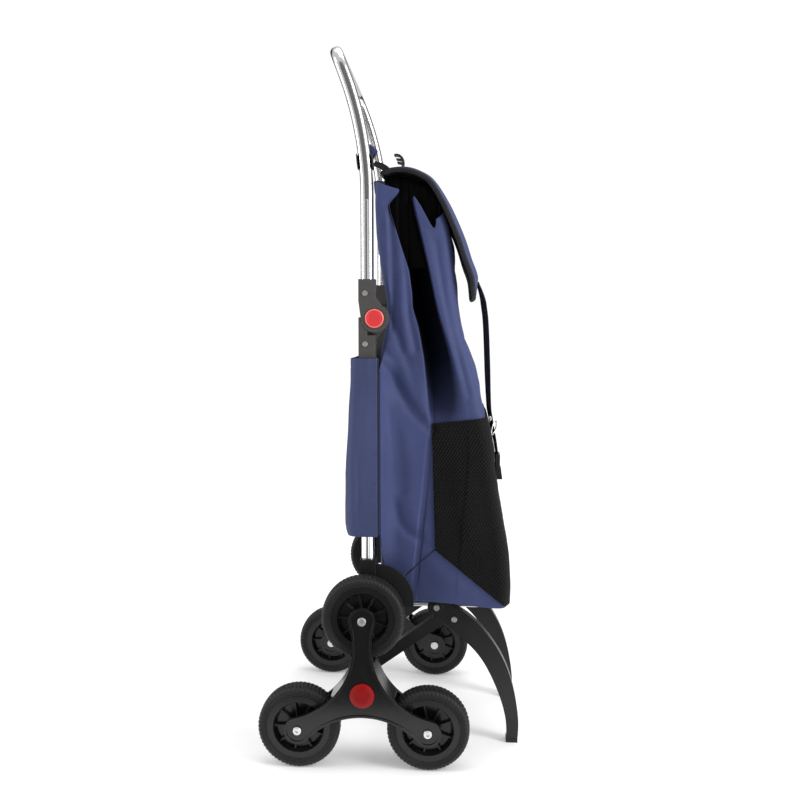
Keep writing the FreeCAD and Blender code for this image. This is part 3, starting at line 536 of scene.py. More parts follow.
def crease_height(points, creases):
    """Signed relief in millimetres at rows of points on the cloth, from lines on it.

    Each line is (points, relief, width, strength at its start, strength at its end)."""
    shape = points.shape[:-1]
    points = points.reshape(-1, 2)
    relief = np.zeros(len(points))
    for line, amount, width, start, end in creases:
        line = np.asarray(line, float)
        runs = run_lengths(line)
        best = np.full(len(points), 1e9)
        share = np.zeros(len(points))
        for index in range(len(line) - 1):
            first, step = line[index], line[index + 1] - line[index]
            along = np.clip(((points - first) @ step) / (step @ step), 0, 1)
            gap = np.linalg.norm(points - first - along[:, None] * step, axis=1)
            nearer = gap < best
            best[nearer] = gap[nearer]
            run = runs[index] + along * (runs[index + 1] - runs[index])
            share[nearer] = (run / runs[-1])[nearer]
        strength = start + (end - start) * share
        relief += amount * strength * np.exp(-(best / width) ** 2)
    return relief.reshape(shape)


def soft_noise(rows, size, seed):
    """Gentle rolling noise of about the given size in millimetres, from -1 to 1."""
    points = rows.reshape(-1, 3)
    rng = np.random.default_rng(seed)
    total = np.zeros(len(points))
    for _ in range(14):
        turn = rng.normal(size=3)
        turn *= 2 * math.pi / (np.linalg.norm(turn) * size * rng.uniform(0.7, 1.8))
        total += np.sin(points @ turn + rng.uniform(0, 6.283))
    return total.reshape(rows.shape[:-1]) / 5.0


LID_LINE = ((22, 834.5), (36, 838.5), (54, 839), (75, 832.5), (92, 821), (110, 793), (124, 763),
            (134, 738), (142, 713), (151, 688), (154.5, 658))
LID_THICK = 7.0
LID_TIP_CORNER = 34.0
# The bag's outline and side fold, as (height, ahead) tables.
BACK_EDGE = smooth_table([(210, 20), (300, 19.5), (330, 18.6), (560, 18.6), (590, 21), (620, 29),
                          (655, 29), (700, 20), (745, 14), (790, 12), (825, 13)])
FOLD_REAR = smooth_table([(210, 62), (420, 84), (486, 90), (525, 86), (573, 81), (618, 73),
                          (644, 65), (665, 64), (696, 60), (739, 46), (780, 33), (790, 32),
                          (805, 46), (822, 48)], 2.5)
FOLD_FRONT = smooth_table([(210, 128), (420, 146), (488, 144), (532, 134), (585, 120),
                           (628, 106), (656, 99), (703, 89), (750, 78), (786, 69), (810, 64)])
FRONT_EDGE = smooth_table([(205, 203), (211, 204), (232, 205.5), (250, 205.5), (294, 201), (368, 188),
                           (441, 179), (482, 169.5), (556, 152), (613, 133), (655, 126),
                           (700, 122.5), (742, 119), (764, 114), (788, 105), (826, 88)], 4.0)
# How deep the side fold reaches in, as a (height, depth) table.
FOLD_DEPTH = smooth_table([(440, 0), (470, 1), (500, 13), (530, 28), (570, 44), (620, 57),
                           (700, 65), (800, 66)], 8.0)
# Creases, as crease_height reads them: on a side by (ahead, height), in front by (x, height).
SIDE_CREASES = [
    (((16, 571), (26, 559), (47, 528), (65, 500), (83, 480), (93, 470)), -6.0, 6.5, 1.0, 0.8),
    (((30, 592), (58, 548), (80, 505), (88, 488)), 4.5, 12.0, 0.6, 1.0),
    (((19, 562), (29, 505), (33, 440), (33, 380)), -3.2, 6.5, 1.0, 0.2),
    (((22, 548), (48, 474), (62, 420), (66, 360)), 2.6, 12.0, 0.8, 0.4),
    (((38, 368), (47, 338), (60, 322), (76, 313)), -4.4, 6.0, 0.3, 1.0),
    (((56, 372), (70, 340), (84, 324)), 2.4, 9.0, 0.3, 1.0),
    (((33, 781), (37, 730), (38, 673), (35, 616)), -2.6, 4.5, 0.9, 0.7),
    (((27, 770), (29, 715), (31, 665)), 1.6, 4.0, 0.9, 0.6),
    (((44, 748), (50, 690), (50, 640), (58, 585)), 2.4, 6.0, 0.5, 1.0),
    (((52, 718), (57, 672), (60, 630), (70, 586)), -2.4, 4.0, 0.4, 1.0),
    (((30, 642), (44, 604), (60, 562), (72, 520)), -3.0, 5.0, 1.0, 0.4),
    (((22, 586), (38, 572), (62, 566)), -2.0, 4.0, 1.0, 0.1),
    (((84, 748), (97, 690), (112, 620), (132, 545)), 1.8, 5.0, 0.6, 0.9),
    (((98, 735), (108, 672), (124, 604), (146, 520)), -2.0, 4.5, 0.7, 1.0),
    (((96, 640), (112, 585), (126, 540)), -1.2, 4.0, 0.4, 1.0),
    (((46, 470), (52, 420), (50, 380)), -1.5, 8.0, 0.3, 1.0),
    (((82, 300), (100, 262), (150, 232)), 1.6, 12.0, 0.6, 1.0),
    (((120, 460), (138, 400), (146, 330)), 2.6, 20.0, 0.5, 1.0),
    (((112, 440), (116, 380), (124, 330)), -2.0, 12.0, 0.5, 1.0),
]
FRONT_CREASES = [
    (((-90, 600), (-30, 586), (40, 592), (96, 612)), -2.4, 9.0, 1.0, 0.6),
    (((-96, 700), (-20, 690), (60, 706)), -1.8, 8.0, 0.6, 1.0),
    (((-70, 740), (-58, 640), (-66, 540)), 2.4, 16.0, 0.5, 1.0),
    (((50, 760), (62, 660), (54, 540)), 2.4, 16.0, 0.5, 1.0),
    (((-100, 420), (-20, 402), (70, 410)), -2.0, 10.0, 1.0, 0.5),
    (((-60, 320), (10, 306), (90, 322)), -1.6, 10.0, 0.4, 1.0),
]


BAG_THICK = 1.6
FRONT_ROUND = 15.0
FLOOR_MIDDLE = np.array([0, 112.0, 0])
FLARE = 30.0    # how far the bag's rear corners spread to meet the sleeve


def eased(count, power):
    """Shares from 0 to 1 that crowd towards both ends the more, the higher the power."""
    even = np.linspace(0, 1, count, endpoint=False)
    return even * (1 - power) + power * (0.5 - 0.5 * np.cos(math.pi * even))


def bag_half_ring():
    """The bag's columns from the middle of its back to the middle of its front."""
    columns = []
    for name, count, power in (("back", 14, 0.0), ("back_corner", 5, 0.0), ("rear", 26, 0.3),
                               ("in", 12, 0.5), ("out", 18, 0.5), ("fore", 30, 0.3),
                               ("front_corner", 7, 0.0), ("front", 20, 0.0)):
        columns += [(name, share) for share in eased(count, power)]
    return columns


def beside_sleeve(height):
    """1 where the bag is sewn to the sleeve, fading to 0 above and below it."""
    share = np.interp(height, (252, 320, 556, 596), (0, 1, 1, 0))
    return share * share * (3 - 2 * share)


def bag_column(kind, share, height):
    """(out, ahead) of one column at some heights; out is the distance from the middle."""
    back, rear = BACK_EDGE(height), FOLD_REAR(height)
    fore, front = FOLD_FRONT(height), FRONT_EDGE(height)
    depth = FOLD_DEPTH(height)
    half = np.full_like(height, BAG_HALF - 1.5)
    back_round = 7.0 - 6.0 * beside_sleeve(height)
    valley = rear + 0.12 * (fore - rear)
    turn = share * math.pi / 2
    if kind == "back":
        return share * (half - back_round), back + 3.0 * (1 - share ** 2)
    if kind == "back_corner":
        return half - back_round * (1 - math.sin(turn)), back + back_round * (1 - math.cos(turn))
    if kind == "rear":
        return half, back + back_round + share ** 1.15 * (rear - back - back_round)
    if kind == "in":
        return half - depth * share, rear + (valley - rear) * share
    if kind == "out":
        return half - depth * (1 - share) ** 1.15, valley + (fore - valley) * share
    if kind == "fore":
        return half, fore + share * (front - FRONT_ROUND - fore)
    if kind == "front_corner":
        return half - FRONT_ROUND * (1 - math.cos(turn)), front - FRONT_ROUND * (1 - math.sin(turn))
    return (1 - share) * (half - FRONT_ROUND), front + 2.0 * (1 - (1 - share) ** 2)


def bag_top(kind, share):
    """Height of the bag's rim at a column."""
    fixed = {"back": 823.0, "back_corner": 821.0 - 4 * share,
             "front_corner": 767.0 + 12 * share, "front": 779.0, "in": 808.0 - 26 * share,
             "out": 782.0 + 15 * share}
    if kind in fixed:
        return fixed[kind]
    if kind == "rear":
        return 817.0 - 9.0 * share
    return float(np.interp(share, (0, 0.15, 0.35, 0.5, 0.6, 0.7, 0.8, 0.9, 1),
                           (799, 795, 784, 770, 760, 755, 754.5, 759, 767)))


def bag_floor(ahead):
    """Height of the bag's floor."""
    return np.interp(ahead, (20, 30, 120, 186, 199, 205), (228, 222.5, 217.5, 211.5, 211, 212.5))


def bag_rings():
    """Rows of points (levels by columns) of the bag's outside, with fold shade and cloth UV."""
    half = bag_half_ring()
    ring = ([(kind, share, -1) for kind, share in half]
            + [("front", 1.0, -1)]
            + [(kind, share, 1) for kind, share in half[:0:-1]])
    levels = np.r_[np.linspace(-1, 0, 76, endpoint=False), np.linspace(0, 1, 98)]
    rows = np.zeros((len(levels), len(ring), 3))
    shade = np.zeros(rows.shape[:2])
    on_side = np.zeros(len(ring))
    for column, (kind, share, sign) in enumerate(ring):
        low_ahead = bag_column(kind, share, np.array([236.0]))[1][0]
        floor = bag_floor(low_ahead) + 4.5
        height = SPLIT_HEIGHT + levels * np.where(levels < 0, SPLIT_HEIGHT - floor,
                                                  bag_top(kind, share) - SPLIT_HEIGHT)
        out, ahead = bag_column(kind, share, height)
        rows[:, column] = np.column_stack([sign * out, ahead, height])
        # Painted shade on the side fold's walls: darkest deep in the fold and high up, fading out
        # lower down and towards the fold's edges.
        if kind in ("in", "out"):
            inner = share if kind == "in" else 1 - share
            edge = np.clip(inner * np.interp(height, (480, 640), (1.5, 9.0)), 0, 1)
            shade[:, column] = edge * np.interp(height, (468, 500, 570, 640, 800),
                                                (0.25, 0.72, 0.93, 0.985, 1.0))
        on_side[column] = {"back": 0, "front": 0, "in": 0.4, "out": 0.7, "back_corner": share,
                           "front_corner": 1 - share}.get(kind, 1.0)
    out, ahead, height = np.moveaxis(rows, 2, 0)
    rolling = soft_noise(rows, 95.0, 4)
    small = soft_noise(rows, 34.0, 9)
    belly = np.interp(height, (225, 330, 470, 600), (0.5, 4.5, 1.5, 0))
    middle = np.sin(np.clip((ahead - 20) / 160, 0, 1) * math.pi)
    beside = np.clip((ahead - 17) / 30, 0, 1)
    flare = FLARE * beside_sleeve(height) * (1 - beside) ** 2.2
    relief_side = (crease_height(rows[..., 1:], SIDE_CREASES) * np.where(out > 0, 0.75, 1.0)
                   + rolling * 1.3 + small * 0.35 + belly * middle + flare)
    relief_front = (crease_height(rows[..., [0, 2]], FRONT_CREASES) + rolling * 1.2
                    + small * 0.3)
    rows[:, :, 0] += np.where(out < 0, -1.0, 1.0) * relief_side * on_side
    kinds = np.array([kind for kind, _, _ in ring])
    in_front = np.isin(kinds, ("front", "front_corner"))
    rows[:, :, 1] += relief_front * in_front * (1 - on_side) + np.abs(rolling) * (kinds == "back")
    uv = np.zeros(rows.shape[:2] + (2,))
    steps = np.linalg.norm(np.diff(rows, axis=1, append=rows[:, :1]), axis=2)
    uv[:, 1:, 0] = np.cumsum(steps, axis=1)[:, :-1] * MM
    uv[:, :, 0] -= uv[:, len(half), 0][:, None]
    uv[:, :, 1] = rows[:, :, 2] * MM
    return rows, shade, uv


def grid_normals(rows):
    """Outward normals of a grid of levels by closed columns."""
    across = np.roll(rows, -1, axis=1) - np.roll(rows, 1, axis=1)
    up = np.gradient(rows, axis=0)
    normal = np.cross(across, up)
    normal /= np.linalg.norm(normal, axis=2)[:, :, None] + 1e-9
    middle = rows.mean(axis=1, keepdims=True)
    if (normal * (rows - middle)).sum() < 0:
        normal = -normal
    return normal


def drawn_in(ring, share, lift):
    """A ring of the bag shrunk towards the middle of the bag's floor, a little above it."""
    level = FLOOR_MIDDLE + (ring - FLOOR_MIDDLE) * share
    level[:, 2] = bag_floor(level[:, 1]) + lift
    return level


def make_bag(cloth, lining):
    """The bag's cloth, its dark lining and its floor as one skin, before it is parted."""
    rows, shade, uv = bag_rings()
    levels, columns = shade.shape
    normal = grid_normals(rows)
    tucks = []
    for inset, drop in ((0.5, 2.4), (1.6, 3.9), (3.6, 4.6)):
        towards = (FLOOR_MIDDLE - rows[0]) * (1, 1, 0)
        towards /= np.linalg.norm(towards, axis=1)[:, None]
        tucks.append(rows[0] + towards * inset - (0, 0, drop))
    tucks += [drawn_in(tucks[2], share, 0.4) for share in (0.75, 0.5, 0.25, 0.02)]
    bottom = np.array(tucks[::-1])
    inside = rows - normal * BAG_THICK
    inside_floor = [drawn_in(inside[0], share, 3.0) for share in (0.97, 0.6, 0.3, 0.02)]
    hem = (rows[-1] + inside[-1]) / 2 + (0, 0, 0.9)
    skin = np.concatenate([bottom, rows, hem[None], inside[::-1], np.array(inside_floor)])
    outer = len(bottom) + levels
    all_uv = np.zeros(skin.shape[:2] + (2,))
    all_uv[:len(bottom)] = bottom[:, :, :2] * MM
    all_uv[len(bottom):outer] = uv
    all_uv[outer] = uv[-1]
    all_uv[outer + 1:outer + 1 + levels] = uv[::-1]
    all_uv[outer + 1 + levels:] = uv[0]
    piece = grid_object("bag_skin", skin, cloth, all_uv, ring=True)
    piece.data.materials.append(lining)
    inner = np.arange(len(piece.data.polygons)) >= outer * columns
    piece.data.polygons.foreach_set("material_index", inner.astype(np.int32))
    values = np.zeros(skin.shape[:2], np.float32)
    values[len(bottom):outer] = shade
    layer = piece.data.attributes.new("fold_shade", "FLOAT", "POINT")
    layer.data.foreach_set("value", values.ravel())
    face_out(piece)
    return piece, rows, normal, uv


def face_out(piece):
    """Turns every face outwards."""
    mesh = bmesh.new()
    mesh.from_mesh(piece.data)
    bmesh.ops.recalc_face_normals(mesh, faces=mesh.faces)
    mesh.to_mesh(piece.data)
    mesh.free()


def read_rows(items, name, width):
    """One attribute of a mesh's items, as rows of numbers."""
    values = np.empty(len(items) * width, np.float32)
    items.foreach_get(name, values)
    return values.reshape(-1, width)


def part_at_height(piece, height, upper_name, lower_name):
    """Parts a piece at a level row, keeping the shading of the whole on both."""
    mesh = piece.data
    normals = read_rows(mesh.corner_normals, "vector", 3)
    points = read_rows(mesh.vertices, "co", 3)
    uv = read_rows(mesh.uv_layers["cloth"].data, "uv", 2)
    shade = read_rows(mesh.attributes["fold_shade"].data, "value", 1)
    made = []
    for name, above in ((upper_name, True), (lower_name, False)):
        corners, faces, kinds, used = [], [], [], {}
        for polygon in mesh.polygons:
            if (polygon.center[2] > height) != above:
                continue
            corners += polygon.loop_indices
            faces.append([used.setdefault(v, len(used)) for v in polygon.vertices])
            kinds.append(polygon.material_index)
        order = np.array(list(used))
        part = bpy.data.meshes.new(name)
        part.from_pydata([tuple(row) for row in points[order]], [], faces)
        part.polygons.foreach_set("use_smooth", [True] * len(faces))
        part.polygons.foreach_set("material_index", kinds)
        part.uv_layers.new(name="cloth").data.foreach_set("uv", uv[corners].ravel())
        layer = part.attributes.new("fold_shade", "FLOAT", "POINT")
        layer.data.foreach_set("value", shade[order].ravel())
        for material in mesh.materials:
            part.materials.append(material)
        part.normals_split_custom_set([tuple(row) for row in normals[corners]])
        made.append(add_object(name, part))
    bpy.data.objects.remove(piece)
    bpy.data.meshes.remove(mesh)
    return made


def lid_under(ahead):
    """Height of the lid's underside."""
    line = catmull(LID_LINE, 10)
    return np.interp(ahead, line[:, 0], line[:, 1]) - LID_THICK - 3.5


def make_collar(rows, lining):
    """Black gathered cover inside the bag's mouth, drawn in just under the lid. Inside the side fold
    it is pushed out into the fold's opening, and it reaches forward under the lid; there it is a
    black sheet standing in for painted shade.
    """
    x, ahead, height = rows[-1].T
    turns = np.arange(len(x)) / len(x) * 2 * math.pi
    pleat = 0.9 * np.sin(turns * 26) + 0.5 * np.sin(turns * 43 + 1)
    # In the side fold the cover stands out past the folded-in wall: a black sheet put there as
    # painted shade in the fold's opening.
    in_fold = (ahead > 36) & (ahead < 72) & (np.abs(x) > 30) & (np.abs(x) < BAG_HALF - 20)
    base_x = np.where(in_fold, np.sign(x) * (BAG_HALF - 15),
                      np.clip(x, -(BAG_HALF - 13), BAG_HALF - 13))
    base_ahead = np.clip(ahead, 26, 104)
    top = lid_under(base_ahead) - 2
    low = np.minimum(height, 760) - 60
    levels = []
    for share in np.linspace(0, 1, 14):
        levels.append(np.column_stack([base_x - np.sign(base_x) * (2 + pleat * share),
                                       base_ahead, low + (top - low) * share]))
    centre = np.array([0.0, 62.0, 0.0])
    for share in (0.93, 0.8, 0.6, 0.4, 0.2, 0.03):
        level = centre + (levels[13] - centre) * share
        level[:, 2] = lid_under(level[:, 1]) - 2 - 3 * (1 - share) + pleat * (1 - share) * 1.5
        levels.append(level)
    grid = np.array(levels)
    uv = np.stack([grid[:, :, 0] + grid[:, :, 1], grid[:, :, 2]], axis=2) * MM
    piece = grid_object("drawstring_cover", grid, lining, uv, ring=True)
    face_out(piece)
    return thicken(piece, 0.8)


# Straight seams of the mesh pocket (top, rear and low) and a point inside it, (ahead, height).
POCKET_SEAMS = (((93, 480), (172.5, 489)), ((93, 480), (98.5, 298)), ((98.5, 298), (191, 221.5)))
POCKET_INSIDE = (150, 300)
CORNER_SEAM = ((98, 298.5), (85, 286.5), (71, 273.5), (57, 260))


def make_pocket(material, rows, normal, uv):
    """The mesh pocket laid over the lower front of the bag, cut along its seams."""
    keep = rows[:, :, 2].min(axis=1) < SPLIT_HEIGHT + 8
    lifted = rows[keep] + normal[keep] * 1.3
    piece = grid_object("mesh_pocket", lifted, material, uv[keep], ring=True)
    mesh = bmesh.new()
    mesh.from_mesh(piece.data)
    for first, last in POCKET_SEAMS:
        start = place(0, *first)
        outward = Vector((1, 0, 0)).cross(place(0, *last) - start).normalized()
        if outward.dot(place(0, *POCKET_INSIDE) - start) > 0:
            outward = -outward
        bmesh.ops.bisect_plane(mesh, geom=mesh.verts[:] + mesh.edges[:] + mesh.faces[:],
                               plane_co=start, plane_no=outward, clear_outer=True)
    bmesh.ops.recalc_face_normals(mesh, faces=mesh.faces)
    foremost = min(mesh.faces, key=lambda face: face.calc_center_median()[1])
    if foremost.normal[1] > 0:
        bmesh.ops.reverse_faces(mesh, faces=mesh.faces)
    mesh.to_mesh(piece.data)
    mesh.free()
    return thicken(piece, 1.3, 1.0)


def side_out(rows, ahead, height):
    """How far out the bag's side stands at a point, read from the nearest grid point."""
    near = rows[:, :rows.shape[1] // 2].reshape(-1, 3)
    near = near[near[:, 0] < -60]
    gap = (near[:, 1] - ahead) ** 2 + (near[:, 2] - height) ** 2
    return -near[np.argmin(gap), 0]


def make_seam(name, side, rows, material):
    """Corded seam along the cut lower corner of the bag's side."""
    points = [(side * (side_out(rows, ahead, height) + 0.27), ahead, height)
              for ahead, height in catmull(CORNER_SEAM, 8)]
    return tube_along(name, points, 0.9, material, 6)


# ---------------------------------------------------------------- sleeve, lid, strap

SLEEVE_ROUND = 16
SLEEVE_SIDE_CREASES = [
    (((-17, 566), (-19, 480), (-18, 360)), 1.5, 4.5, 0.7, 1.0),
    (((-8, 570), (-9, 470), (-7, 340)), -1.7, 4.0, 0.8, 1.0),
    (((4, 572), (3, 480), (5, 400)), 1.3, 5.0, 1.0, 0.5),
    (((-14, 440), (0, 462), (13, 480)), -1.1, 4.0, 0.5, 1.0),
    (((-20, 400), (-4, 420), (14, 440)), -0.9, 4.0, 0.4, 1.0),
    (((-22, 352), (-6, 366), (12, 396)), -1.4, 4.0, 0.4, 1.0),
    (((-20, 334), (0, 344), (14, 362)), 1.0, 5.0, 0.5, 1.0),
]
SLEEVE_REAR_CREASES = [
    (((-120, 540), (-40, 500), (60, 520)), -2.2, 11.0, 1.0, 0.4),
    (((-110, 400), (0, 424), (116, 392)), 2.0, 14.0, 0.6, 1.0),
    (((-30, 560), (-36, 460), (-28, 350)), -1.8, 10.0, 1.0, 0.4),
    (((70, 566), (64, 450), (76, 350)), -1.8, 9.0, 0.7, 0.7),
]

def sleeve_outline(half, rear, front):
    """(x, ahead) points round the sleeve from one front edge to the other."""
    outline = []
    for sign in (-1, 1):
        edge = [(sign * along * (half - SLEEVE_ROUND), rear + 1.5 * (1 - along ** 2))
                for along in np.linspace(0 if sign < 0 else 1 / 26, 1, 26, endpoint=False)]
        edge += [(sign * (half - SLEEVE_ROUND * (1 - math.sin(turn))),
                  rear + SLEEVE_ROUND * (1 - math.cos(turn)))
                 for turn in np.linspace(0, math.pi / 2, 11, endpoint=False)]
        edge += [(sign * half, rear + SLEEVE_ROUND + along * (front - rear - SLEEVE_ROUND - 1))
                 for along in eased(20, 0.2)]
        edge += [(sign * (half - 1 + math.cos(turn)), front - 1 + math.sin(turn))
                 for turn in np.linspace(0, math.pi / 2, 5, endpoint=False)]
        edge += [(sign * (half - 1 - inward), front) for inward in range(0, 24, 4)]
        outline += edge[::-1] if sign < 0 else edge
    return outline


def make_sleeve(cloth):
    """Cloth sleeve behind the bag, wrapped round both tubes, open at top, bottom and front."""
    low, high = box_mm("back_sleeve")
    half, bottom, top = high[0] + 1.2, low[2], high[2]
    front = AXLE_Y - low[1] - 0.2
    heights = np.linspace(bottom, top, 84)
    rows = []
    for height in heights:
        share = (height - bottom) / (top - bottom)
        rear = -28.5 + 9.0 * max(0.0, share - 0.35) / 0.65
        curl = 3.0 * max(0.0, 1 - (height - bottom) / 16) ** 2
        rows.append([(x, ahead + curl * (ahead < rear + 20), height)
                     for x, ahead in sleeve_outline(half, rear, front)])
    rows = np.array(rows)
    side = crease_height(rows[..., 1:], SLEEVE_SIDE_CREASES)
    rear = crease_height(rows[..., [0, 2]], SLEEVE_REAR_CREASES)
    rolling = soft_noise(rows, 70.0, 21)
    end = np.clip((np.abs(rows[:, :, 0]) - (half - SLEEVE_ROUND)) / SLEEVE_ROUND, 0, 1)
    behind = np.clip((front - 8 - rows[:, :, 1]) / SLEEVE_ROUND, 0, 1) * (1 - end)
    hem = sum(np.exp(-((heights - seam) / 1.6) ** 2) for seam in (top - 11, bottom + 11))
    relief = (side + rolling * 0.5 - hem[:, None] * 0.7) * end
    rows[:, :, 0] += np.sign(rows[:, :, 0]) * np.clip(relief, -0.9, 1.8)
    rows[:, :, 1] -= np.clip((rear + rolling * 0.9 - hem[:, None] * 0.7) * behind, -4, 0.9)
    across = np.broadcast_to(run_lengths(rows[40]) * MM, rows.shape[:2])
    piece = grid_object("sleeve_cloth", rows, cloth, np.stack([across, rows[:, :, 2] * MM], axis=2))
    rear_face = piece.data.polygons[rows.shape[1] // 2]
    if rear_face.normal.y < 0:
        piece.data.flip_normals()
    return thicken(piece, 1.5, bevel=0.4)


def lid_rows(drop):
    """A grid over the lid, a given depth below its top face, and each row's run from the hinge."""
    count = 90
    line = resample(catmull(LID_LINE, 10), count)
    tangent = np.gradient(line, axis=0)
    tangent /= np.linalg.norm(tangent, axis=1)[:, None]
    normal = np.column_stack([-tangent[:, 1], tangent[:, 0]])
    run = run_lengths(line)
    half_full = box_mm("lid_flap")[1][0] - 1.5
    shares = np.linspace(-1, 1, 49)
    shares = np.sign(shares) * (1 - (1 - np.abs(shares)) ** 1.25)
    rows = np.zeros((count, len(shares), 3))
    for index in range(count):
        left = max(0.0, LID_TIP_CORNER - (run[-1] - run[index]))
        half = half_full - (LID_TIP_CORNER - math.sqrt(max(0.0, LID_TIP_CORNER ** 2 - left ** 2)))
        wave = 1.1 * np.sin(shares * 5.0 + run[index] / 46) * min(1.0, run[index] / 60)
        grow = min(1.0, run[index] / 40) * min(1.0, (run[-1] - run[index]) / 30)
        crown = 7.0 * (1 - np.abs(shares) ** 5) * grow if drop == 0 else 0.0
        depth = drop - wave * 0.6 - crown
        rows[index, :, 0] = shares * half
        rows[index, :, 1:] = line[index] - normal[index] * depth[:, None]
    return rows, run


def make_lid(cloth, lining, binding):
    """Padded flap: navy outside, black lining, bound all round with black tape."""
    top, run = lid_rows(0.0)
    low, _ = lid_rows(LID_THICK)
    rows, columns = top.shape[:2]
    count = rows * columns
    faces = grid_faces(rows, columns)
    under = [tuple(v + count for v in face[::-1]) for face in faces]
    border = (list(range(columns))
              + [row * columns + columns - 1 for row in range(1, rows)]
              + [(rows - 1) * columns + column for column in range(columns - 2, -1, -1)]
              + [row * columns for row in range(rows - 2, 0, -1)])
    rim = [(vertex, after, after + count, vertex + count)
           for vertex, after in zip(border, border[1:] + border[:1])]
    uv = np.stack([top[:, :, 0], np.broadcast_to(run[:, None], (rows, columns))],
                  axis=2).reshape(-1, 2) * MM
    points = np.concatenate([top.reshape(-1, 3), low.reshape(-1, 3)])
    piece = new_object("lid_cover", points, faces + under + rim, cloth, np.concatenate([uv, uv]))
    piece.data.materials.append(lining)
    kinds = [0] * len(faces) + [1] * (len(under) + len(rim))
    piece.data.polygons.foreach_set("material_index", kinds)
    face_out(piece)
    edge = ((top + low) / 2).reshape(-1, 3)[border]
    edge[:, 0] -= np.sign(edge[:, 0]) * 0.8
    tape = tube_along("lid_binding", edge, LID_THICK / 2 - 0.2, binding, 10, closed=True)
    return piece, tape


STRAP_LINE = ((158, 684), (165, 664), (168.4, 647), (172, 611), (176.5, 504), (180, 476),
              (187, 440), (190.5, 418))
STRAP_HALF = 12.2


def make_strap(webbing):
    """The closing strap, which hangs from the lid to the buckle."""
    line = resample(catmull(STRAP_LINE, 10), 90)
    run = run_lengths(line)
    points, uv = [], []
    for (ahead, height), along in zip(line, run):
        turn = math.radians(np.interp(along / run[-1], (0, 0.12, 0.5, 0.75, 0.9, 1),
                                      (6, 17, 17, 12, 8, 5)))
        for share in np.linspace(-1, 1, 9):
            across = share * STRAP_HALF
            points.append((across * math.cos(turn),
                           ahead - across * math.sin(turn) + 0.6 * (1 - share ** 2), height))
            uv.append((across * MM, along * MM))
    piece = new_object("strap_webbing", points, grid_faces(len(line), 9), webbing, uv)
    return thicken(piece, 1.8, 0.0, bevel=0.5)


def make_loop(name, side, webbing):
    """Webbing band that holds the bag's top to a handle tube, round all but its outer face."""
    rows, uv = [], []
    for level in np.linspace(0, 1, 9):
        height = 834 + 20 * level
        lean = (height - 797) ** 2 / (2 * 467)
        bulge = 0.4 * math.sin(level * math.pi)
        for turn in np.linspace(math.radians(58), math.radians(302), 30):
            bend, lift = (abs(part) ** 0.55 * math.copysign(1, part)
                          for part in (math.cos(turn), math.sin(turn)))
            rows.append((side * (135.0 + (13.0 + bulge) * bend),
                         3 - lean + (10.8 + bulge) * lift, height))
            uv.append((level * 20 * MM, turn * 12 * MM))
    piece = new_object(name, rows, grid_faces(9, 30), webbing, uv)
    return thicken(piece, 1.1, 0.0, bevel=0.3)


def make_tie(name, side, line, spreads, cloth):
    """Short flat tie by the bag's top; spreads are its half widths at its two ends."""
    points, uv = [], []
    for index, (x, ahead, height) in enumerate(resample(catmull(line, 8), 24)):
        spread = spreads[0] + (spreads[1] - spreads[0]) * index / 23
        for across in np.linspace(-spread, spread, 5):
            points.append((side * (x + across * 0.3), ahead + across * 0.55,
                           height + across * 0.78))
            uv.append((across * MM, index * 1.4 * MM))
    piece = new_object(name, points, grid_faces(24, 5), cloth, uv)
    return thicken(piece, 1.6, 0.0, bevel=0.4)


# Middles of the black ties and the loose navy tabs at the bag's top, (x, ahead, height).
TIE_LINE = ((124, 11, 843), (121, 18, 842), (118, 26, 838), (114, 33, 832))
TAB_LINE = ((123, 3, 871), (127, 8, 864), (130, 12, 858), (132, 15, 853))


def make_spring(name, side, metal):
    """Coil spring of four and a half turns behind a release button."""
    low, high = box_mm("button_springs")
    ahead, height = AXLE_Y - (low[1] + high[1]) / 2, (low[2] + high[2]) / 2
    radius = (high[2] - low[2]) / 2 - 0.6
    line = [(side * (high[0] - 6.4 + 5.8 * share),
             ahead + radius * math.cos(share * 9 * math.pi),
             height + radius * math.sin(share * 9 * math.pi)) for share in np.linspace(0, 1, 131)]
    return tube_along(name, line, 0.5, metal)


# ---------------------------------------------------------------- tyres

TREADS = 60
# Half of a tyre's section, (across, radius), from its bead to the middle of its tread.
TYRE_PROFILE = [(-12.4, 45.15), (-13.4, 46.4), (-13.6, 47.6), (-13.3, 48.6), (-14.2, 49.6),
                (-14.9, 51.2), (-14.9, 52.6), (-14.4, 54.0), (-13.4, 55.4), (-12.0, 56.3),
                (-10.2, 56.9), (-8.0, 57.2), (-5.6, 57.35), (-3.0, 57.4), (-1.0, 57.4)]


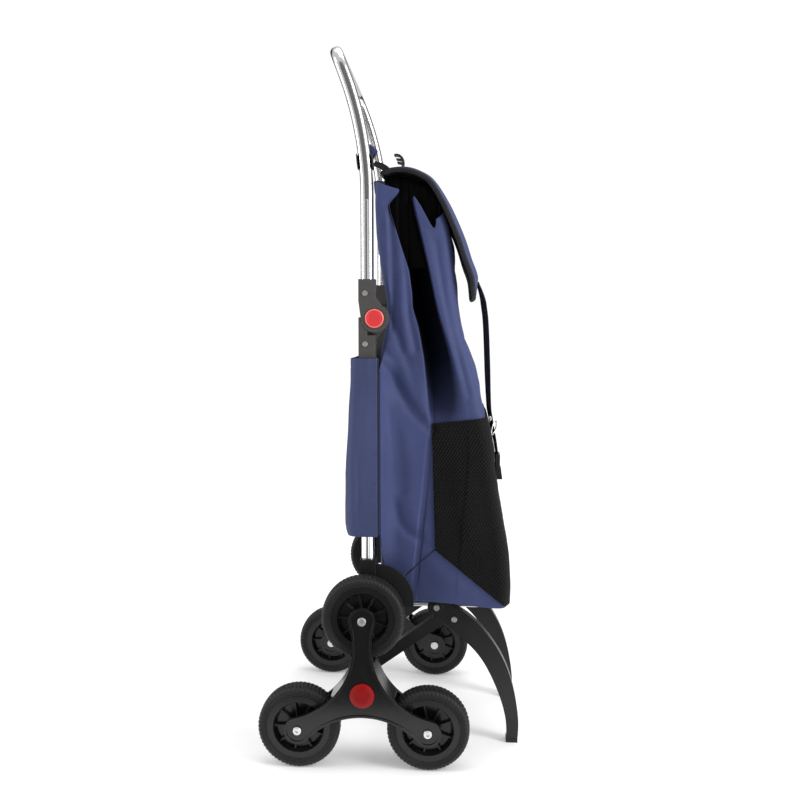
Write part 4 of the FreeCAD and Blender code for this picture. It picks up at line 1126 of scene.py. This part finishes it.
def make_tyre(node, name, material):
    """Grey rubber tyre with slanted shoulder ribs and a chevron tread, where its node is."""
    low, high = box_mm(node)
    middle = (low + high) / 2
    columns = TREADS * 8
    turns = np.arange(columns) / columns * 2 * math.pi
    profile = TYRE_PROFILE + [(-across, reach) for across, reach in TYRE_PROFILE[::-1]]
    rows = np.zeros((len(profile), columns, 3))
    for index, (across, reach) in enumerate(profile):
        phase = (turns * TREADS / (2 * math.pi) + 0.66 * abs(across) / 15.0) % 1.0
        block = np.clip((0.5 - np.abs(phase - 0.5)) * 8 - 0.9, 0, 1)
        depth = np.interp(reach, (49.6, 51.5, 54, 56.5, 57.4), (0, 0.75, 0.9, 0.9, 0.9))
        if abs(across) < 0.9 and reach > 57:
            block = np.clip(block, 0.35, 1)
        out = reach - depth * (1 - block) + (0.55 if reach > 56 else 0.0)
        shift = -depth * 0.35 * (1 - block) * math.copysign(1, across) if reach < 56 else 0
        rows[index, :, 0] = middle[0] + across + shift
        rows[index, :, 1] = AXLE_Y - middle[1] + out * np.cos(turns)
        rows[index, :, 2] = middle[2] + out * np.sin(turns)
    piece = grid_object(name, rows, material, ring=True, closed=True)
    face_out(piece)
    piece.data.set_sharp_from_angle(angle=math.radians(38))
    return piece


# ---------------------------------------------------------------- the trolley

def paint(nodes, material):
    """Gives CAD nodes that stay visible their material."""
    for node in nodes:
        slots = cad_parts[node].data.materials
        slots.clear()
        slots.append(material)


def with_sides(*names):
    return [name + "_" + side for name in names for side, _ in SIDES]


def squash_down(piece):
    """Gives a piece of the bag's lower part its own copy of its mesh."""
    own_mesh(piece)


navy = woven_cloth("navy_cloth", (0.027, 0.036, 0.100), (0.050, 0.066, 0.180),
                   shade_name="fold_shade")
navy_plain = woven_cloth("navy_sleeve", (0.025, 0.034, 0.088), (0.045, 0.058, 0.148))
# Black lining cloth, made darker than black cloth is, so that it also stands in for painted shade
# inside the bag's mouth and side fold.
black_lining_and_shade = woven_cloth("black_lining_and_shade", (0.0008, 0.0008, 0.001), (0.002, 0.002, 0.0024),
                           haze=0.02)
black_mesh = mesh_cloth()
webbing = webbing_cloth()
seam_thread = webbing_cloth("seam_thread", (0.006, 0.007, 0.016))
binding_tape = webbing_cloth("binding_tape", (0.006, 0.006, 0.008))

skin, bag_grid, bag_normal, bag_uv = make_bag(navy, black_lining_and_shade)
pocket = make_pocket(black_mesh, bag_grid, bag_normal, bag_uv)
collar = make_collar(bag_grid, black_lining_and_shade)
bag_upper, bag_boot = part_at_height(skin, SPLIT_HEIGHT * MM, "bag_upper", "bag_boot")
seams = [make_seam("corner_seam_" + name, sign, bag_grid, seam_thread) for name, sign in SIDES]
for piece in (bag_upper, bag_boot, pocket, collar, *seams):
    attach(piece, "frame")
for piece in (bag_boot, pocket, *seams):
    squash_down(piece)
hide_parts("bag_shell")
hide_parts("mesh_wrap")

sleeve = make_sleeve(navy_plain)
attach(sleeve, "frame")
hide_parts("back_sleeve")
for name, sign in SIDES:
    seam = tube_along("sleeve_seam_" + name, [(sign * 147.8, 18.4, height)
                                              for height in np.linspace(325, 572, 40)],
                      1.7, seam_thread)
    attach(seam, "frame")

lid, lid_tape = make_lid(navy_plain, black_lining_and_shade, binding_tape)
for piece in (lid, lid_tape):
    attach(piece, "lid")
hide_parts("lid_flap")

strap = make_strap(webbing)
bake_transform(strap)
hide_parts("lid_strap", "strap_root")

for name, sign in SIDES:
    loop = make_loop("tube_loop_" + name, sign, webbing)
    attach(loop, "handle")
    if sign < 0:
        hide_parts("tube_loops")
    tie = make_tie("corner_tie_" + name, sign, TIE_LINE, (4.0, 5.0), binding_tape)
    tab = make_tie("top_tab_" + name, sign, TAB_LINE, (1.2, 6.5), navy_plain)
    for piece in (tie, tab):
        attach(piece, "frame")

rubber = tyre_rubber()
for spot in ("top", "rear", "front"):
    for name, _ in SIDES:
        tyre = "tyre_%s_%s" % (spot, name)
        tread = make_tyre(tyre, "tread_%s_%s" % (spot, name), rubber)
        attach(tread, "wheel_%s_%s" % (spot, name))
        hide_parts(tyre)

tube_metal = bright_metal("aluminium_tube", (0.88, 0.88, 0.885), 0.16)
steel = bright_metal("bright_steel", (0.85, 0.85, 0.86), 0.34, stretch=(1, 1, 1), scale=300,
                     strength=0.3)
for name, sign in SIDES:
    spring = make_spring("button_spring_" + name, sign, steel)
    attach(spring, "handle")
    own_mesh(spring)
    if sign < 0:
        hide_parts("button_springs")
rod_steel = bright_metal("axle_steel", (0.62, 0.62, 0.63), 0.3, stretch=(0.02, 1, 1))


paint(["handle_tube", "shelf_tube"] + with_sides("lower_tube"), tube_metal)
paint(["frame_screws", "head_screws", "leg_bolts", "zip_pull", "hinge_pins"]
      + with_sides("wheel_bolts"), steel)
paint(["axle", "fold_rod"], rod_steel)
for name, colour, roughness, finish, nodes in (
        ("hinge_plastic", (0.046, 0.043, 0.041), 0.42, {}, with_sides("hinge_base", "hinge_head")),
        ("black_plastic", (0.004, 0.004, 0.0042), 0.2, {"strength": 0.05, "shine": 0.45},
         with_sides("spider_outer", "spider_inner")),
        ("leg_plastic", (0.009, 0.009, 0.0094), 0.34, {"shine": 0.35}, with_sides("leg", "strut")),
        ("guard_plastic", (0.008, 0.008, 0.0084), 0.42, {"shine": 0.25},
         ["axle_blocks"] + with_sides("wheel_guard")),
        ("rim_plastic", (0.005, 0.005, 0.0053), 0.26, {},
         with_sides("rim_top", "rim_rear", "rim_front")),
        ("foot_rubber", (0.010, 0.010, 0.010), 0.7, {"grain": 500.0}, ["foot_pads"]),
        ("clip_plastic", (0.012, 0.011, 0.011), 0.4, {},
         ["axle_clips", "shelf_knuckles", "lid_buckle", "buckle_insert", "buckle_socket",
          "cart_hook"]),
        ("base_board", (0.012, 0.012, 0.012), 0.7, {"grain": 300.0, "strength": 0.3},
         ["base_board"])):
    paint(nodes, moulded_plastic(name, colour, roughness, **finish))
paint(with_sides("hub_cap"), red_plastic("cap_red", "hub_cap_right", (0.22, 0.003, 0.004),
                                         (0.27, 0.006, 0.006), 0.0158, shine=0.15))
paint(with_sides("button"), red_plastic("button_red", "button_right", (0.60, 0.026, 0.030),
                                        (0.76, 0.13, 0.12), 0.0112))

make_camera()
make_studio()
